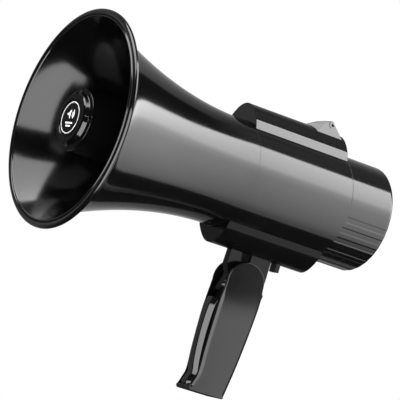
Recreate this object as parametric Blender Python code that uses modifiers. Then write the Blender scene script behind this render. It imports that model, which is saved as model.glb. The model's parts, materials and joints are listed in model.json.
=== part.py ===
"""A small handheld megaphone with a re-entrant horn, a folding handle and a full-length trigger.

Every solid is modelled in the horn's own frame: Y runs back from the mouth, Z up from the horn's
axis, X to the side. One empty carries that frame to the part's frame, whose origin lies under the
middle of the megaphone, level with the bottom of the handle. Lengths are in millimetres times MM.
"""

import math

import bmesh
import bpy
from mathutils import Matrix

MM = 0.001
GAP = 0.3 * MM

# Driving dimensions
LENGTH = 241.4 * MM
AXIS_HEIGHT = 147.2 * MM
MOUTH_R = 75 * MM
TUBE_R = 37.4 * MM
WALL = 2 * MM
BELL_END = 127.5 * MM
TUBE_END = 205.6 * MM
FLARE_LENGTH = 122 * MM
FLARE_RISE = 30.6 * MM
FLARE_POWER = 1.91
LIP_RISE = 5 * MM
LIP_REACH = 4 * MM

# Saddles on the top and the bottom of the tube: a round dome between two leaning side strips
TOP_DOME_R, TOP_DOME_Z = 18.5 * MM, 31.1 * MM
LOW_DOME_R, LOW_DOME_Z = 19.5 * MM, -28.8 * MM
STRIP_FOOT_X, STRIP_FOOT_Z = 19.7 * MM, 31.9 * MM

# Handle
PIVOT_Y, PIVOT_Z = 158.7 * MM, -68 * MM
HEAD_R = 14.3 * MM
HANDLE_HALF = 11.5 * MM
HANDLE_INNER = 8.5 * MM
PARTING = 0.15 * MM
HANDLE_FOOT = -147.2 * MM
TAPER_TOP_Z, TAPER_PER_M = -80 * MM, 2.6
TONGUE_HALF = 3 * MM
TRIGGER_HALF = 6 * MM
TRIGGER_PIN_Y, TRIGGER_PIN_Z = 147 * MM, -138.5 * MM
CHANNEL_HALF, CHANNEL_FOOT = 4.3 * MM, -82.5 * MM

# Volume knob's axis
KNOB_X, KNOB_Z = -12.5 * MM, -12.5 * MM

ROUND = 40
INNER_ROUND = 36
DRIVER_ROUND = 24
SMALL_ROUND = 16
TINY_ROUND = 8


def material(name, colour, roughness, metallic=0.0):
    """A Principled material with one colour, roughness and metallic value."""
    made = bpy.data.materials.new(name)
    made.use_nodes = True
    shader = made.node_tree.nodes["Principled BSDF"]
    shader.inputs["Base Color"].default_value = (*colour, 1)
    shader.inputs["Roughness"].default_value = roughness
    shader.inputs["Metallic"].default_value = metallic
    made.diffuse_color = (*colour, 1)
    return made


def clear_scene():
    for obj in list(bpy.data.objects):
        bpy.data.objects.remove(obj, do_unlink=True)


def new_collection(name):
    made = bpy.data.collections.new(name)
    bpy.context.scene.collection.children.link(made)
    return made


clear_scene()
PARTS = new_collection("handheld_megaphone")
CUTTERS = new_collection("cutters")

BLACK = material("gloss_black_plastic", (0.012, 0.012, 0.013), 0.16)
SATIN = material("satin_black_plastic", (0.02, 0.02, 0.021), 0.32)
BADGE = material("badge_black", (0.008, 0.008, 0.009), 0.2)
STEEL = material("zinc_steel", (0.62, 0.62, 0.6), 0.35, 1.0)
IRON = material("plated_iron", (0.45, 0.45, 0.46), 0.4, 1.0)
FERRITE = material("ferrite", (0.05, 0.05, 0.055), 0.7)
COPPER = material("copper_wire", (0.72, 0.32, 0.14), 0.35, 1.0)
FILM = material("amber_film", (0.45, 0.22, 0.05), 0.3)
RUBBER = material("black_rubber", (0.03, 0.03, 0.03), 0.8)
NYLON = material("white_nylon", (0.8, 0.8, 0.77), 0.5)
BOARD = material("green_board", (0.03, 0.2, 0.08), 0.45)
CELL = material("cell_sleeve", (0.1, 0.25, 0.55), 0.4)
ALUMINIUM = material("aluminium", (0.75, 0.75, 0.77), 0.35, 1.0)

AXES = {"X": (0, math.pi / 2, 0), "Y": (-math.pi / 2, 0, 0), "Z": (0, 0, 0)}


def empty(name, place, parent=None):
    """An empty that stands for a frame or a joint's axis."""
    made = bpy.data.objects.new(name, None)
    made.empty_display_size = 0.02
    made.location = place
    made.parent = parent
    PARTS.objects.link(made)
    return made


HORN = empty("horn_frame", (0, -LENGTH / 2, AXIS_HEIGHT))
HANDLE = empty("handle_frame", (0, PIVOT_Y, PIVOT_Z), HORN)
TRIGGER = empty("trigger_frame", (0, TRIGGER_PIN_Y - PIVOT_Y, TRIGGER_PIN_Z - PIVOT_Z), HANDLE)
VOLUME = empty("volume_frame", (KNOB_X, LENGTH, KNOB_Z), HORN)
FRAME_PLACES = {
    HORN: (0, 0, 0),
    HANDLE: (0, PIVOT_Y, PIVOT_Z),
    TRIGGER: (0, TRIGGER_PIN_Y, TRIGGER_PIN_Z),
    VOLUME: (KNOB_X, LENGTH, KNOB_Z),
}


def add(name, mesh, look, frame=HORN):
    """Puts a mesh made in the horn's frame under the empty that carries it."""
    mesh.transform(Matrix.Translation(FRAME_PLACES[frame]).inverted())
    obj = bpy.data.objects.new(name, mesh)
    mesh.materials.append(look)
    PARTS.objects.link(obj)
    obj.parent = frame
    return obj


def mesh_of(shape, name):
    """Closes a bmesh into a mesh whose faces point out."""
    bmesh.ops.recalc_face_normals(shape, faces=shape.faces)
    mesh = bpy.data.meshes.new(name)
    shape.to_mesh(mesh)
    shape.free()
    return mesh


def evaluated_mesh(obj):
    graph = bpy.context.evaluated_depsgraph_get()
    return bpy.data.meshes.new_from_object(obj.evaluated_get(graph))


def turned_mesh(profile, steps, axis="Y", place=(0, 0, 0)):
    """A solid of revolution: profile holds (radius, distance along the axis) points."""
    doubled_area = 0
    for (r1, s1), (r2, s2) in zip(profile, profile[1:] + profile[:1]):
        doubled_area += r1 * s2 - r2 * s1
    if doubled_area > 0:
        profile = profile[::-1]
    meets_axis = min(r for r, s in profile) == 0
    if meets_axis:
        while not (profile[0][0] == 0 and profile[-1][0] == 0):
            profile = profile[1:] + profile[:1]
    count = len(profile)
    edges = [(i, (i + 1) % count) for i in range(count - 1 if meets_axis else count)]
    mesh = bpy.data.meshes.new("profile")
    mesh.from_pydata([(r, 0, s) for r, s in profile], edges, [])
    obj = bpy.data.objects.new("profile", mesh)
    PARTS.objects.link(obj)
    screw = obj.modifiers.new("turn", "SCREW")
    screw.steps = screw.render_steps = steps
    screw.use_merge_vertices = True
    screw.merge_threshold = 1e-6
    made = evaluated_mesh(obj)
    bpy.data.objects.remove(obj)
    made.transform(rotation(AXES[axis]))
    made.transform(Matrix.Translation(place))
    made.shade_smooth()
    made.set_sharp_from_angle(angle=math.radians(32))
    return made


def rotation(angles):
    turn_x = Matrix.Rotation(angles[0], 4, "X")
    turn_y = Matrix.Rotation(angles[1], 4, "Y")
    return turn_y @ turn_x


def turned(name, profile, look, steps=ROUND, axis="Y", place=(0, 0, 0), frame=HORN):
    return add(name, turned_mesh(profile, steps, axis, place), look, frame)


def ring(inner, outer, start, end):
    """The profile of a plain ring, or of a disc where the inner radius is 0."""
    return [(inner, start), (outer, start), (outer, end), (inner, end)]


def box_mesh(low, high):
    shape = bmesh.new()
    bmesh.ops.create_cube(shape, size=1)
    size = [b - a for a, b in zip(low, high)]
    middle = [(a + b) / 2 for a, b in zip(low, high)]
    bmesh.ops.scale(shape, vec=size, verts=shape.verts)
    bmesh.ops.translate(shape, vec=middle, verts=shape.verts)
    return mesh_of(shape, "box")


def box(name, low, high, look, frame=HORN):
    return add(name, box_mesh(low, high), look, frame)


def prism_mesh(outline, start, end, along="X"):
    """A flat outline pushed through from start to end. Along X the outline is (y, z), along Y (x, z)."""
    shape = bmesh.new()
    if along == "X":
        corners = [shape.verts.new((start, a, b)) for a, b in outline]
        push = (end - start, 0, 0)
    else:
        corners = [shape.verts.new((a, start, b)) for a, b in outline]
        push = (0, end - start, 0)
    face = shape.faces.new(corners)
    pushed = bmesh.ops.extrude_face_region(shape, geom=[face], use_keep_orig=True)
    moved = [item for item in pushed["geom"] if isinstance(item, bmesh.types.BMVert)]
    bmesh.ops.translate(shape, vec=push, verts=moved)
    return mesh_of(shape, "prism")


def prism(name, outline, start, end, look, along="X", frame=HORN):
    return add(name, prism_mesh(outline, start, end, along), look, frame)


def arc(centre, radius, first, last, steps):
    """Points on an arc, with angles in degrees from the outline's first axis."""
    points = []
    for step in range(steps + 1):
        angle = math.radians(first + (last - first) * step / steps)
        points.append((centre[0] + radius * math.cos(angle), centre[1] + radius * math.sin(angle)))
    return points


def boolean(obj, other_mesh, operation):
    """Cuts or joins a shape, held as a hidden object beside the one it works on."""
    other = bpy.data.objects.new(obj.name + "_" + operation.lower(), other_mesh)
    CUTTERS.objects.link(other)
    other.parent = HORN
    other.hide_render = True
    other.display_type = "WIRE"
    modifier = obj.modifiers.new(operation.lower(), "BOOLEAN")
    modifier.operation = operation
    modifier.solver = "EXACT"
    modifier.object = other


def cut(obj, *cutters):
    for cutter in cutters:
        boolean(obj, cutter, "DIFFERENCE")


def join(obj, *pieces):
    for piece in pieces:
        boolean(obj, piece, "UNION")


def bevel(obj, width, segments=1, angle=40):
    modifier = obj.modifiers.new("edges", "BEVEL")
    modifier.width = width
    modifier.segments = segments
    modifier.limit_method = "ANGLE"
    modifier.angle_limit = math.radians(angle)


def joined_mesh(meshes):
    """One mesh of several closed shapes that don't touch, for use as a cutter."""
    shape = bmesh.new()
    for mesh in meshes:
        shape.from_mesh(mesh)
    made = bpy.data.meshes.new("group")
    shape.to_mesh(made)
    shape.free()
    return made


def hole(radius, start, end, axis, place, steps=SMALL_ROUND):
    """A round cutter from start to end along an axis through place."""
    return turned_mesh(ring(0, radius, start, end), steps, axis, place)


def screw(name, head_r, head_length, shank_r, shank_length, axis, place, frame=HORN):
    """A screw whose head starts at place and whose shank runs on along the axis."""
    way = 1 if shank_length > 0 else -1
    head_end = head_length * way
    recess_r, recess_depth = head_r * 0.4, head_end * 0.5
    profile = [
        (0, recess_depth),
        (recess_r, 0),
        (head_r, 0),
        (head_r, head_end),
        (shank_r, head_end),
        (shank_r, head_end + shank_length),
        (0, head_end + shank_length + shank_r * way),
    ]
    return turned(name, profile, STEEL, TINY_ROUND, axis, place, frame)


# --- Horn -------------------------------------------------------------------------------------


def flare(y):
    """The bell's outer radius at a distance behind the mouth."""
    body = FLARE_RISE * max(0, 1 - y / FLARE_LENGTH) ** FLARE_POWER
    return TUBE_R + body + LIP_RISE * math.exp(-y / LIP_REACH)


FLARE_STATIONS = [3.4, 5.5, 9, 15, 25, 38, 54, 72, 94]
SHOULDER_START, SHOULDER_END, SHOULDER_R = 94 * MM, 97 * MM, 28 * MM
SPIGOT_OUT, SPIGOT_IN, SPIGOT_LENGTH = 35.1 * MM, 33.3 * MM, 6.5 * MM
FLANGE_START, FLANGE_END, FLANGE_R = 97.3 * MM, 100.3 * MM, 32.8 * MM
THROAT_SCREW_RING = 30.4 * MM
THROAT_SCREW_ANGLES = (90, 210, 330)


def around(radius, angle):
    """A point in the X, Z plane at an angle in degrees from +X."""
    turn = math.radians(angle)
    return radius * math.cos(turn), radius * math.sin(turn)


def make_bell():
    outer = [(flare(y * MM), y * MM) for y in FLARE_STATIONS]
    lip = [(70.9 * MM, 0), (73.8 * MM, 0), (MOUTH_R, 1.1 * MM)]
    lip += [(MOUTH_R, 2.1 * MM), (74.2 * MM, 3.1 * MM)]
    tail = [
        (TUBE_R, FLARE_LENGTH),
        (TUBE_R, BELL_END),
        (SPIGOT_OUT, BELL_END),
        (SPIGOT_OUT, BELL_END + SPIGOT_LENGTH),
        (SPIGOT_IN, BELL_END + SPIGOT_LENGTH),
        (SPIGOT_IN, SHOULDER_END + 8 * MM),
        (SPIGOT_IN + 1.6 * MM, SHOULDER_END),
        (SHOULDER_R, SHOULDER_END),
        (SHOULDER_R, SHOULDER_START),
    ]
    inner = [(flare(y * MM) - WALL, y * MM) for y in (92, 72, 54, 38, 24, 16)]
    inner += [(61.3 * MM, 10 * MM), (64.6 * MM, 5.5 * MM), (68 * MM, 2.2 * MM), (69.9 * MM, 0.5 * MM)]
    bell = turned("bell", lip + outer + tail + inner, BLACK)
    screw_holes = []
    for angle in THROAT_SCREW_ANGLES:
        x, z = around(THROAT_SCREW_RING, angle)
        screw_holes.append(hole(1.5 * MM, 94.8 * MM, 98 * MM, "Y", (x, 0, z), TINY_ROUND))
    cut(bell, joined_mesh(screw_holes))


REFLECTOR_START, REFLECTOR_END = 5.8 * MM, 62 * MM
REFLECTOR_NOSE_R, REFLECTOR_RISE, REFLECTOR_POWER = 20.6 * MM, 9.4 * MM, 1.3
REFLECTOR_WALL = 1.6 * MM
CLIP_ANGLES, CLIP_RING = (0, 90, 180, 270), 17.2 * MM


def reflector_r(y):
    share = (y - REFLECTOR_START) / (REFLECTOR_END - REFLECTOR_START)
    return REFLECTOR_NOSE_R + REFLECTOR_RISE * share**REFLECTOR_POWER


def make_reflector():
    """The bell-shaped middle shell, closed at its nose and open to the rear."""
    stations = [5.8, 20, 38, 62]
    outer = [(reflector_r(y * MM), y * MM) for y in stations]
    inner = [(reflector_r(y * MM) - REFLECTOR_WALL, y * MM) for y in stations[:0:-1]]
    nose = [(12 * MM, 8.4 * MM), (0, 7.8 * MM), (0, REFLECTOR_START)]
    reflector = turned("reflector", outer + inner + nose, BLACK, INNER_ROUND)
    windows = []
    for angle in CLIP_ANGLES:
        x, z = around(CLIP_RING, angle)
        low, high = (x - 1.6 * MM, 4 * MM, z - 1.6 * MM), (x + 1.6 * MM, 14 * MM, z + 1.6 * MM)
        windows.append(box_mesh(low, high))
    cut(reflector, joined_mesh(windows))


def make_nose():
    """The cap on the reflector's nose, with four snap clips, and the badge let into its face."""
    profile = [
        (0, 2.2 * MM),
        (12.9 * MM, 2.2 * MM),
        (12.9 * MM, 0.7 * MM),
        (13.5 * MM, 0.3 * MM),
        (16.4 * MM, 0.4 * MM),
        (17.4 * MM, 1.2 * MM),
        (19.2 * MM, 4.4 * MM),
        (21.2 * MM, 4.5 * MM),
        (21.4 * MM, 5.5 * MM),
        (0, 5.5 * MM),
    ]
    cap = turned("nose_cap", profile, BLACK, INNER_ROUND)
    clips = []
    for angle in CLIP_ANGLES:
        x, z = around(CLIP_RING, angle)
        low, high = (x - 1.2 * MM, 4 * MM, z - 1.2 * MM), (x + 1.2 * MM, 9.6 * MM, z + 1.2 * MM)
        clips.append(box_mesh(low, high))
    join(cap, joined_mesh(clips))
    badge = [(0, 0.5), (12, 0.5), (12.6, 0.8), (12.6, 1.9), (0, 1.9)]
    turned("badge", [(r * MM, s * MM) for r, s in badge], BADGE, INNER_ROUND)


def make_throat():
    """The inner horn that leads the sound forward into the reflector, with its ribs and flange."""
    profile = [
        (15 * MM, 20 * MM),
        (16.6 * MM, 20 * MM),
        (13.2 * MM, 48 * MM),
        (10.2 * MM, 76 * MM),
        (8.6 * MM, 95 * MM),
        (12 * MM, FLANGE_START),
        (FLANGE_R, FLANGE_START),
        (FLANGE_R, FLANGE_END),
        (12.5 * MM, FLANGE_END),
        (6.6 * MM, FLANGE_START),
        (8.6 * MM, 76 * MM),
        (11.6 * MM, 48 * MM),
    ]
    throat = turned("throat_horn", profile, BLACK, INNER_ROUND)
    start, end = 26 * MM, 60 * MM
    rib_outline = [
        (15 * MM, start),
        (reflector_r(start) - REFLECTOR_WALL - GAP, start),
        (reflector_r(end) - REFLECTOR_WALL - GAP, end),
        (11.2 * MM, end),
    ]
    ribs, screw_holes = [], []
    for number, angle in enumerate(THROAT_SCREW_ANGLES, 1):
        rib = prism_mesh(rib_outline, -0.9 * MM, 0.9 * MM)
        rib.transform(Matrix(((0, 1, 0, 0), (0, 0, 1, 0), (1, 0, 0, 0), (0, 0, 0, 1))))
        rib.transform(Matrix.Rotation(-math.radians(angle + 60), 4, "Y"))
        ribs.append(rib)
        x, z = around(THROAT_SCREW_RING, angle)
        screw_holes.append(hole(1.5 * MM, 96 * MM, 102 * MM, "Y", (x, 0, z), TINY_ROUND))
        place = (x, FLANGE_END + 2.1 * MM, z)
        screw(f"throat_screw_{number}", 2.3 * MM, 1.8 * MM, 1.2 * MM, -4.2 * MM, "Y", place)
    join(throat, joined_mesh(ribs))
    cut(throat, joined_mesh(screw_holes))


def make_driver():
    """The compression driver behind the throat."""
    dome = [(r * MM, (98.6 + 2.3 * (r / 10.6) ** 2) * MM) for r in (0, 5.5, 10.6)]
    back = [(r, s + 0.4 * MM) for r, s in dome]
    surround = [(15 * MM, 100.6 * MM), (19.5 * MM, 100.6 * MM)]
    surround += [(19.5 * MM, 101 * MM), (15 * MM, 101 * MM)]
    turned("diaphragm", dome + surround + back[::-1], FILM, DRIVER_ROUND)
    turned("diaphragm_ring", ring(13 * MM, 26.5 * MM, 101.3 * MM, 103 * MM), SATIN, DRIVER_ROUND)
    turned("voice_coil", ring(10.4 * MM, 10.9 * MM, 101.7 * MM, 108 * MM), COPPER, DRIVER_ROUND)
    turned("top_plate", ring(11.3 * MM, 27.5 * MM, 103.3 * MM, 107.3 * MM), IRON, DRIVER_ROUND)
    turned("magnet", ring(15 * MM, 27.5 * MM, 107.6 * MM, 117.6 * MM), FERRITE, DRIVER_ROUND)
    pole = [(0, 104.3 * MM), (9.9 * MM, 104.3 * MM), (9.9 * MM, 117.9 * MM), (27 * MM, 117.9 * MM)]
    pole += [(27 * MM, 121.4 * MM), (0, 121.4 * MM)]
    turned("yoke", pole, IRON, DRIVER_ROUND)


# --- Tube and saddles -------------------------------------------------------------------------


def make_tube():
    start, end = BELL_END + GAP, TUBE_END - GAP
    tube = turned("main_tube", ring(TUBE_R - WALL, TUBE_R, start, end), BLACK)
    for y in (150 * MM, 172 * MM):
        cut(tube, hole(3 * MM, -40 * MM, -30 * MM, "Z", (0, y, 0), TINY_ROUND))


def saddle_outline(radius, centre_z, side):
    """The D-shaped section: two strips that lean in, joined by a dome. side is 1 on top, -1 below."""
    shoulder_angle = 21
    dome = arc((0, centre_z), radius, side * shoulder_angle, side * (180 - shoulder_angle), 14)
    foot = STRIP_FOOT_X, side * STRIP_FOOT_Z
    under = STRIP_FOOT_X, side * 26 * MM
    return [under, foot] + dome + [(-foot[0], foot[1]), (-under[0], under[1])]


def make_saddle(name, radius, centre_z, side):
    """A hollow cover that sits on the tube, with a flat face at each end."""
    outline = saddle_outline(radius, centre_z, side)
    saddle = prism(name, outline, BELL_END + GAP, TUBE_END - GAP, BLACK, "Y")
    seat = hole(TUBE_R + GAP, 120 * MM, 215 * MM, "Y", (0, 0, 0), ROUND)
    inside_r = radius - 2.2 * MM
    inside = arc((0, centre_z), inside_r, side * 12, side * 168, 10)
    pocket_foot = [(-15.8 * MM, side * 28 * MM), (15.8 * MM, side * 28 * MM)]
    pocket = prism_mesh(inside + pocket_foot, 130 * MM, 203 * MM, "Y")
    cut(saddle, seat, pocket)
    return saddle


LUG_HOLE_Y, LUG_HOLE_Z, LUG_HOLE_R = 194.6 * MM, 53.9 * MM, 0.9 * MM


def make_lug():
    """The wedge at the back of the top saddle that a strap's cord is tied through."""
    foot_z, front, rear = 43 * MM, 176.6 * MM, 203 * MM
    corners = [(0, front, foot_z)]
    for side in (-1, 1):
        corners += [
            (side * 10.6 * MM, 179.5 * MM, foot_z),
            (side * 10.6 * MM, rear + 1.5 * MM, foot_z),
            (side * 2 * MM, 182.9 * MM, 53.9 * MM),
            (side * 5 * MM, 194.8 * MM, 57 * MM),
        ]
    corners.append((0, 176.8 * MM, 49.6 * MM))
    shape = bmesh.new()
    for corner in corners:
        shape.verts.new(corner)
    hull = bmesh.ops.convex_hull(shape, input=shape.verts)
    bmesh.ops.delete(shape, geom=list(set(hull["geom_interior"])), context="VERTS")
    lug = add("strap_lug", mesh_of(shape, "lug"), BLACK)
    cut(lug, hole(TOP_DOME_R + GAP, 160 * MM, 215 * MM, "Y", (0, 0, TOP_DOME_Z), ROUND))
    cut(lug, hole(LUG_HOLE_R, -12 * MM, 12 * MM, "X", (0, LUG_HOLE_Y, LUG_HOLE_Z), TINY_ROUND))


BRACKET_SCREWS = (148 * MM, 170.5 * MM)


def make_bracket():
    """The tongue under the bottom saddle that the handle's two sides close on."""
    outline = [
        (145.6 * MM, -44 * MM),
        (144.7 * MM, -58.5 * MM),
        (152.6 * MM, -73.6 * MM),
    ]
    outline += arc((PIVOT_Y, PIVOT_Z), 8 * MM, 225, 315, 4)
    rear = [(170.2, -64.5), (170.6, -63.6), (177.9, -63.4), (178.5, -44)]
    outline += [(y * MM, z * MM) for y, z in rear]
    bracket = prism("handle_bracket", outline, -TONGUE_HALF, TONGUE_HALF, BLACK)
    under_saddle = hole(LOW_DOME_R + GAP, 120 * MM, 215 * MM, "Y", (0, 0, LOW_DOME_Z), ROUND)
    slot = box_mesh((-6 * MM, 154.8 * MM, -55.5 * MM), (6 * MM, 162 * MM, -40 * MM))
    pin_hole = hole(2.1 * MM, -6 * MM, 6 * MM, "X", (0, PIVOT_Y, PIVOT_Z))
    cut(bracket, under_saddle, slot, pin_hole)
    for number, y in enumerate(BRACKET_SCREWS, 1):
        cut(bracket, hole(1.6 * MM, -57 * MM, -44 * MM, "Z", (0, y, 0), TINY_ROUND))
        place = (0, y, -43.6 * MM)
        screw(f"bracket_screw_{number}", 3 * MM, 2 * MM, 1.3 * MM, -8 * MM, "Z", place)


def make_wire_sleeve():
    """The rubber sleeve in the tongue's slot, which the handle's wires pass through."""
    low, high = (-2.6 * MM, 155.1 * MM, -55.2 * MM), (2.6 * MM, 161.7 * MM, -48.8 * MM)
    sleeve = box("wire_sleeve", low, high, RUBBER)
    cut(sleeve, hole(1.4 * MM, -60 * MM, -40 * MM, "Z", (0, 158.4 * MM, 0), TINY_ROUND))


def make_low_saddle():
    saddle = make_saddle("saddle_bottom", LOW_DOME_R, LOW_DOME_Z, -1)
    for y in BRACKET_SCREWS:
        cut(saddle, hole(1.6 * MM, -52 * MM, -42 * MM, "Z", (0, y, 0), TINY_ROUND))
    slot = box_mesh((-3.8 * MM, 180.4 * MM, -52 * MM), (3.8 * MM, 191 * MM, -40 * MM))
    cut(saddle, slot)


def make_mode_switch():
    """The slide switch inside the bottom saddle, and its knob, which slides to the rear."""
    body = box("mode_switch_body", (-6 * MM, 177.5 * MM, -44 * MM), (6 * MM, 195 * MM, -38.6 * MM), SATIN)
    cut(body, box_mesh((-1.5 * MM, 182 * MM, -46 * MM), (1.5 * MM, 190.4 * MM, -41 * MM)))
    knob = box("mode_knob", (-3.5 * MM, 182.5 * MM, -53.9 * MM), (3.5 * MM, 186 * MM, -44.6 * MM), SATIN)
    join(knob, box_mesh((-1.2 * MM, 182.9 * MM, -45 * MM), (1.2 * MM, 185.6 * MM, -41.6 * MM)))


# --- Handle -----------------------------------------------------------------------------------


def taper(mesh):
    """Narrows a handle piece towards the foot, as the grip does."""
    shape = bmesh.new()
    shape.from_mesh(mesh)
    everything = list(shape.verts) + list(shape.edges) + list(shape.faces)
    bmesh.ops.bisect_plane(shape, geom=everything, plane_co=(0, 0, TAPER_TOP_Z), plane_no=(0, 0, 1))
    for vertex in shape.verts:
        below = max(0, TAPER_TOP_Z - vertex.co.z)
        if abs(vertex.co.x) > 2 * PARTING:
            vertex.co.x *= 1 - TAPER_PER_M * below
    shape.to_mesh(mesh)
    shape.free()


def cheek_outline():
    head = arc((PIVOT_Y, PIVOT_Z), HEAD_R, 185, 15, 12)
    rear = [(173.7, -71), (173.6, -84), (172.3, -102), (170.1, -124), (167, -145)]
    front = [(138.6, -145.6), (140.8, -139.4), (142.4, -134), (142.2, -119), (142.3, -105), (142.6, -88)]
    foot = [(166.4 * MM, HANDLE_FOOT), (139.4 * MM, HANDLE_FOOT)]
    return head + [(y * MM, z * MM) for y, z in rear] + foot + [(y * MM, z * MM) for y, z in front]


def hollow_outline():
    """The space inside the handle: open at the front and the head, closed at the rear and the foot."""
    points = [(130, -50), (180, -50), (180, -64.6), (171, -64.6), (171, -84), (169.7, -102), (167.5, -124)]
    points += [(164.6, -144), (148.6, -144), (130, -144)]
    return [(y * MM, z * MM) for y, z in points]


HANDLE_SCREWS = ((164.5, -92), (161.5, -118), (158, -138))
SPRING_Y_FRONT, SPRING_Y_REAR, SPRING_Z = 148.5 * MM, 157.6 * MM, -104 * MM
SWITCH_Z = -92 * MM


def make_shell(name, side):
    """One half of the handle. side is 1 on +X, -1 on -X."""
    half = prism_mesh(cheek_outline(), side * PARTING, side * HANDLE_HALF)
    taper(half)
    shell = add(name, half, BLACK, HANDLE)
    hollow = prism_mesh(hollow_outline(), side * -1 * MM, side * HANDLE_INNER)
    taper(hollow)
    pivot = (0, PIVOT_Y, PIVOT_Z)
    low_x, high_x = sorted((side * 2 * PARTING, side * 9 * MM))
    spring_wall = box_mesh((low_x, 157.9 * MM, -109 * MM), (high_x, 159.9 * MM, -99 * MM))
    raised = [hole(6 * MM, side * 3.9 * MM, side * 9 * MM, "X", pivot), spring_wall]
    sunk = [hole(2.1 * MM, side * 2 * MM, side * 9.6 * MM, "X", pivot)]
    for y, z in HANDLE_SCREWS:
        place = (0, y * MM, z * MM)
        if side > 0:
            raised.append(hole(2.9 * MM, 2 * PARTING, 8.8 * MM, "X", place, TINY_ROUND))
            sunk.append(hole(1.3 * MM, -1 * MM, 7.5 * MM, "X", place, TINY_ROUND))
        else:
            raised.append(hole(3.6 * MM, -8.8 * MM, -2 * PARTING, "X", place, TINY_ROUND))
            stepped = [(0, 1), (1.3, 1), (1.3, -5.6), (2.6, -5.6), (2.6, -14), (0, -14)]
            sunk.append(turned_mesh([(r * MM, s * MM) for r, s in stepped], TINY_ROUND, "X", place))
    cut(shell, hollow)
    join(shell, joined_mesh(raised))
    cut(shell, joined_mesh(sunk))


def make_handle():
    make_shell("handle_right_shell", 1)
    make_shell("handle_left_shell", -1)
    for number, (y, z) in enumerate(HANDLE_SCREWS, 1):
        place = (-7.5 * MM, y * MM, z * MM)
        screw(f"handle_screw_{number}", 2.2 * MM, 1.6 * MM, 1 * MM, 10 * MM, "X", place, HANDLE)
    pin = [(0, -9.3 * MM), (1.8 * MM, -9.3 * MM), (1.8 * MM, 9.3 * MM), (0, 9.3 * MM)]
    turned("pivot_pin", pin, STEEL, SMALL_ROUND, "X", (0, PIVOT_Y, PIVOT_Z), HANDLE)
    for name, start in (("washer_right", 3.25), ("washer_left", -3.65)):
        washer = ring(2.1 * MM, 6 * MM, start * MM, (start + 0.4) * MM)
        turned(name, washer, NYLON, SMALL_ROUND, "X", (0, PIVOT_Y, PIVOT_Z), HANDLE)


def trigger_outline():
    points = [(152, -61), (149.8, -61), (147.4, -65), (145, -70), (143.4, -76), (140.6, -84), (138.8, -95)]
    points += [(138.5, -106), (139, -119), (141, -135), (139.6, -138.6), (138.2, -142.6), (138.6, -143.7)]
    points += [(148.2, -143.7), (148.2, -69)]
    return [(y * MM, z * MM) for y, z in points]


def make_trigger():
    """The full-length lever in the front of the handle. Its top is split to clear the tongue."""
    lever = prism_mesh(trigger_outline(), -TRIGGER_HALF, TRIGGER_HALF)
    taper(lever)
    trigger = add("trigger", lever, BLACK, TRIGGER)
    bevel(trigger, 1.8 * MM, 2, 60)
    channel = box_mesh((-CHANNEL_HALF, 130 * MM, CHANNEL_FOOT), (CHANNEL_HALF, 156 * MM, -50 * MM))
    pin_hole = hole(1.5 * MM, -9 * MM, 9 * MM, "X", (0, TRIGGER_PIN_Y, TRIGGER_PIN_Z), TINY_ROUND)
    cut(trigger, channel, pin_hole)
    pin = ring(0, 1.2 * MM, -7 * MM, 7 * MM)
    turned("trigger_pin", pin, STEEL, TINY_ROUND, "X", (0, TRIGGER_PIN_Y, TRIGGER_PIN_Z), HANDLE)
    coils, coil_r, wire_r, per_turn = 4, 2.2 * MM, 0.3 * MM, 8
    path = []
    for step in range(coils * per_turn + 1):
        share = step / (coils * per_turn)
        angle = 2 * math.pi * step / per_turn
        along = SPRING_Y_FRONT + wire_r + (SPRING_Y_REAR - SPRING_Y_FRONT - 2 * wire_r) * share
        path.append((coil_r * math.cos(angle), along, SPRING_Z + coil_r * math.sin(angle)))
    spring = bpy.data.curves.new("trigger_spring", "CURVE")
    spring.dimensions = "3D"
    spring.bevel_depth = wire_r
    spring.bevel_resolution = 1
    spring.use_fill_caps = True
    wire = spring.splines.new("POLY")
    wire.points.add(len(path) - 1)
    for point, place in zip(wire.points, path):
        point.co = (place[0], place[1] - PIVOT_Y, place[2] - PIVOT_Z, 1)
    spring.materials.append(STEEL)
    coil = bpy.data.objects.new("trigger_spring", spring)
    PARTS.objects.link(coil)
    coil.parent = HANDLE


def make_talk_switch():
    """The microswitch behind the trigger, with the plunger that the trigger pushes in."""
    low, high = (-3.2 * MM, 153 * MM, SWITCH_Z - 5 * MM), (3.2 * MM, 160.2 * MM, SWITCH_Z + 8 * MM)
    body = box("talk_switch_body", low, high, SATIN, HANDLE)
    cut(body, hole(1.3 * MM, 151 * MM, 157.6 * MM, "Y", (0, 0, SWITCH_Z), TINY_ROUND))
    plunger = ring(0, 1 * MM, 148.5 * MM, 155.4 * MM)
    turned("talk_switch_plunger", plunger, NYLON, TINY_ROUND, "Y", (0, 0, SWITCH_Z), HANDLE)


# --- Inside the tube ---------------------------------------------------------------------------

CELL_X, CELL_Z, CELL_R = 9.9 * MM, -13 * MM, 9.2 * MM
CELL_START, CELL_LENGTH = 130.4 * MM, 65 * MM
TRAY_START, TRAY_END = 123.4 * MM, 198 * MM
TRAY_HALF, TRAY_FLOOR, TRAY_TOP = 20.6 * MM, -24 * MM, 5 * MM
BOARD_TOP = TRAY_TOP + GAP + 1.6 * MM


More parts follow.
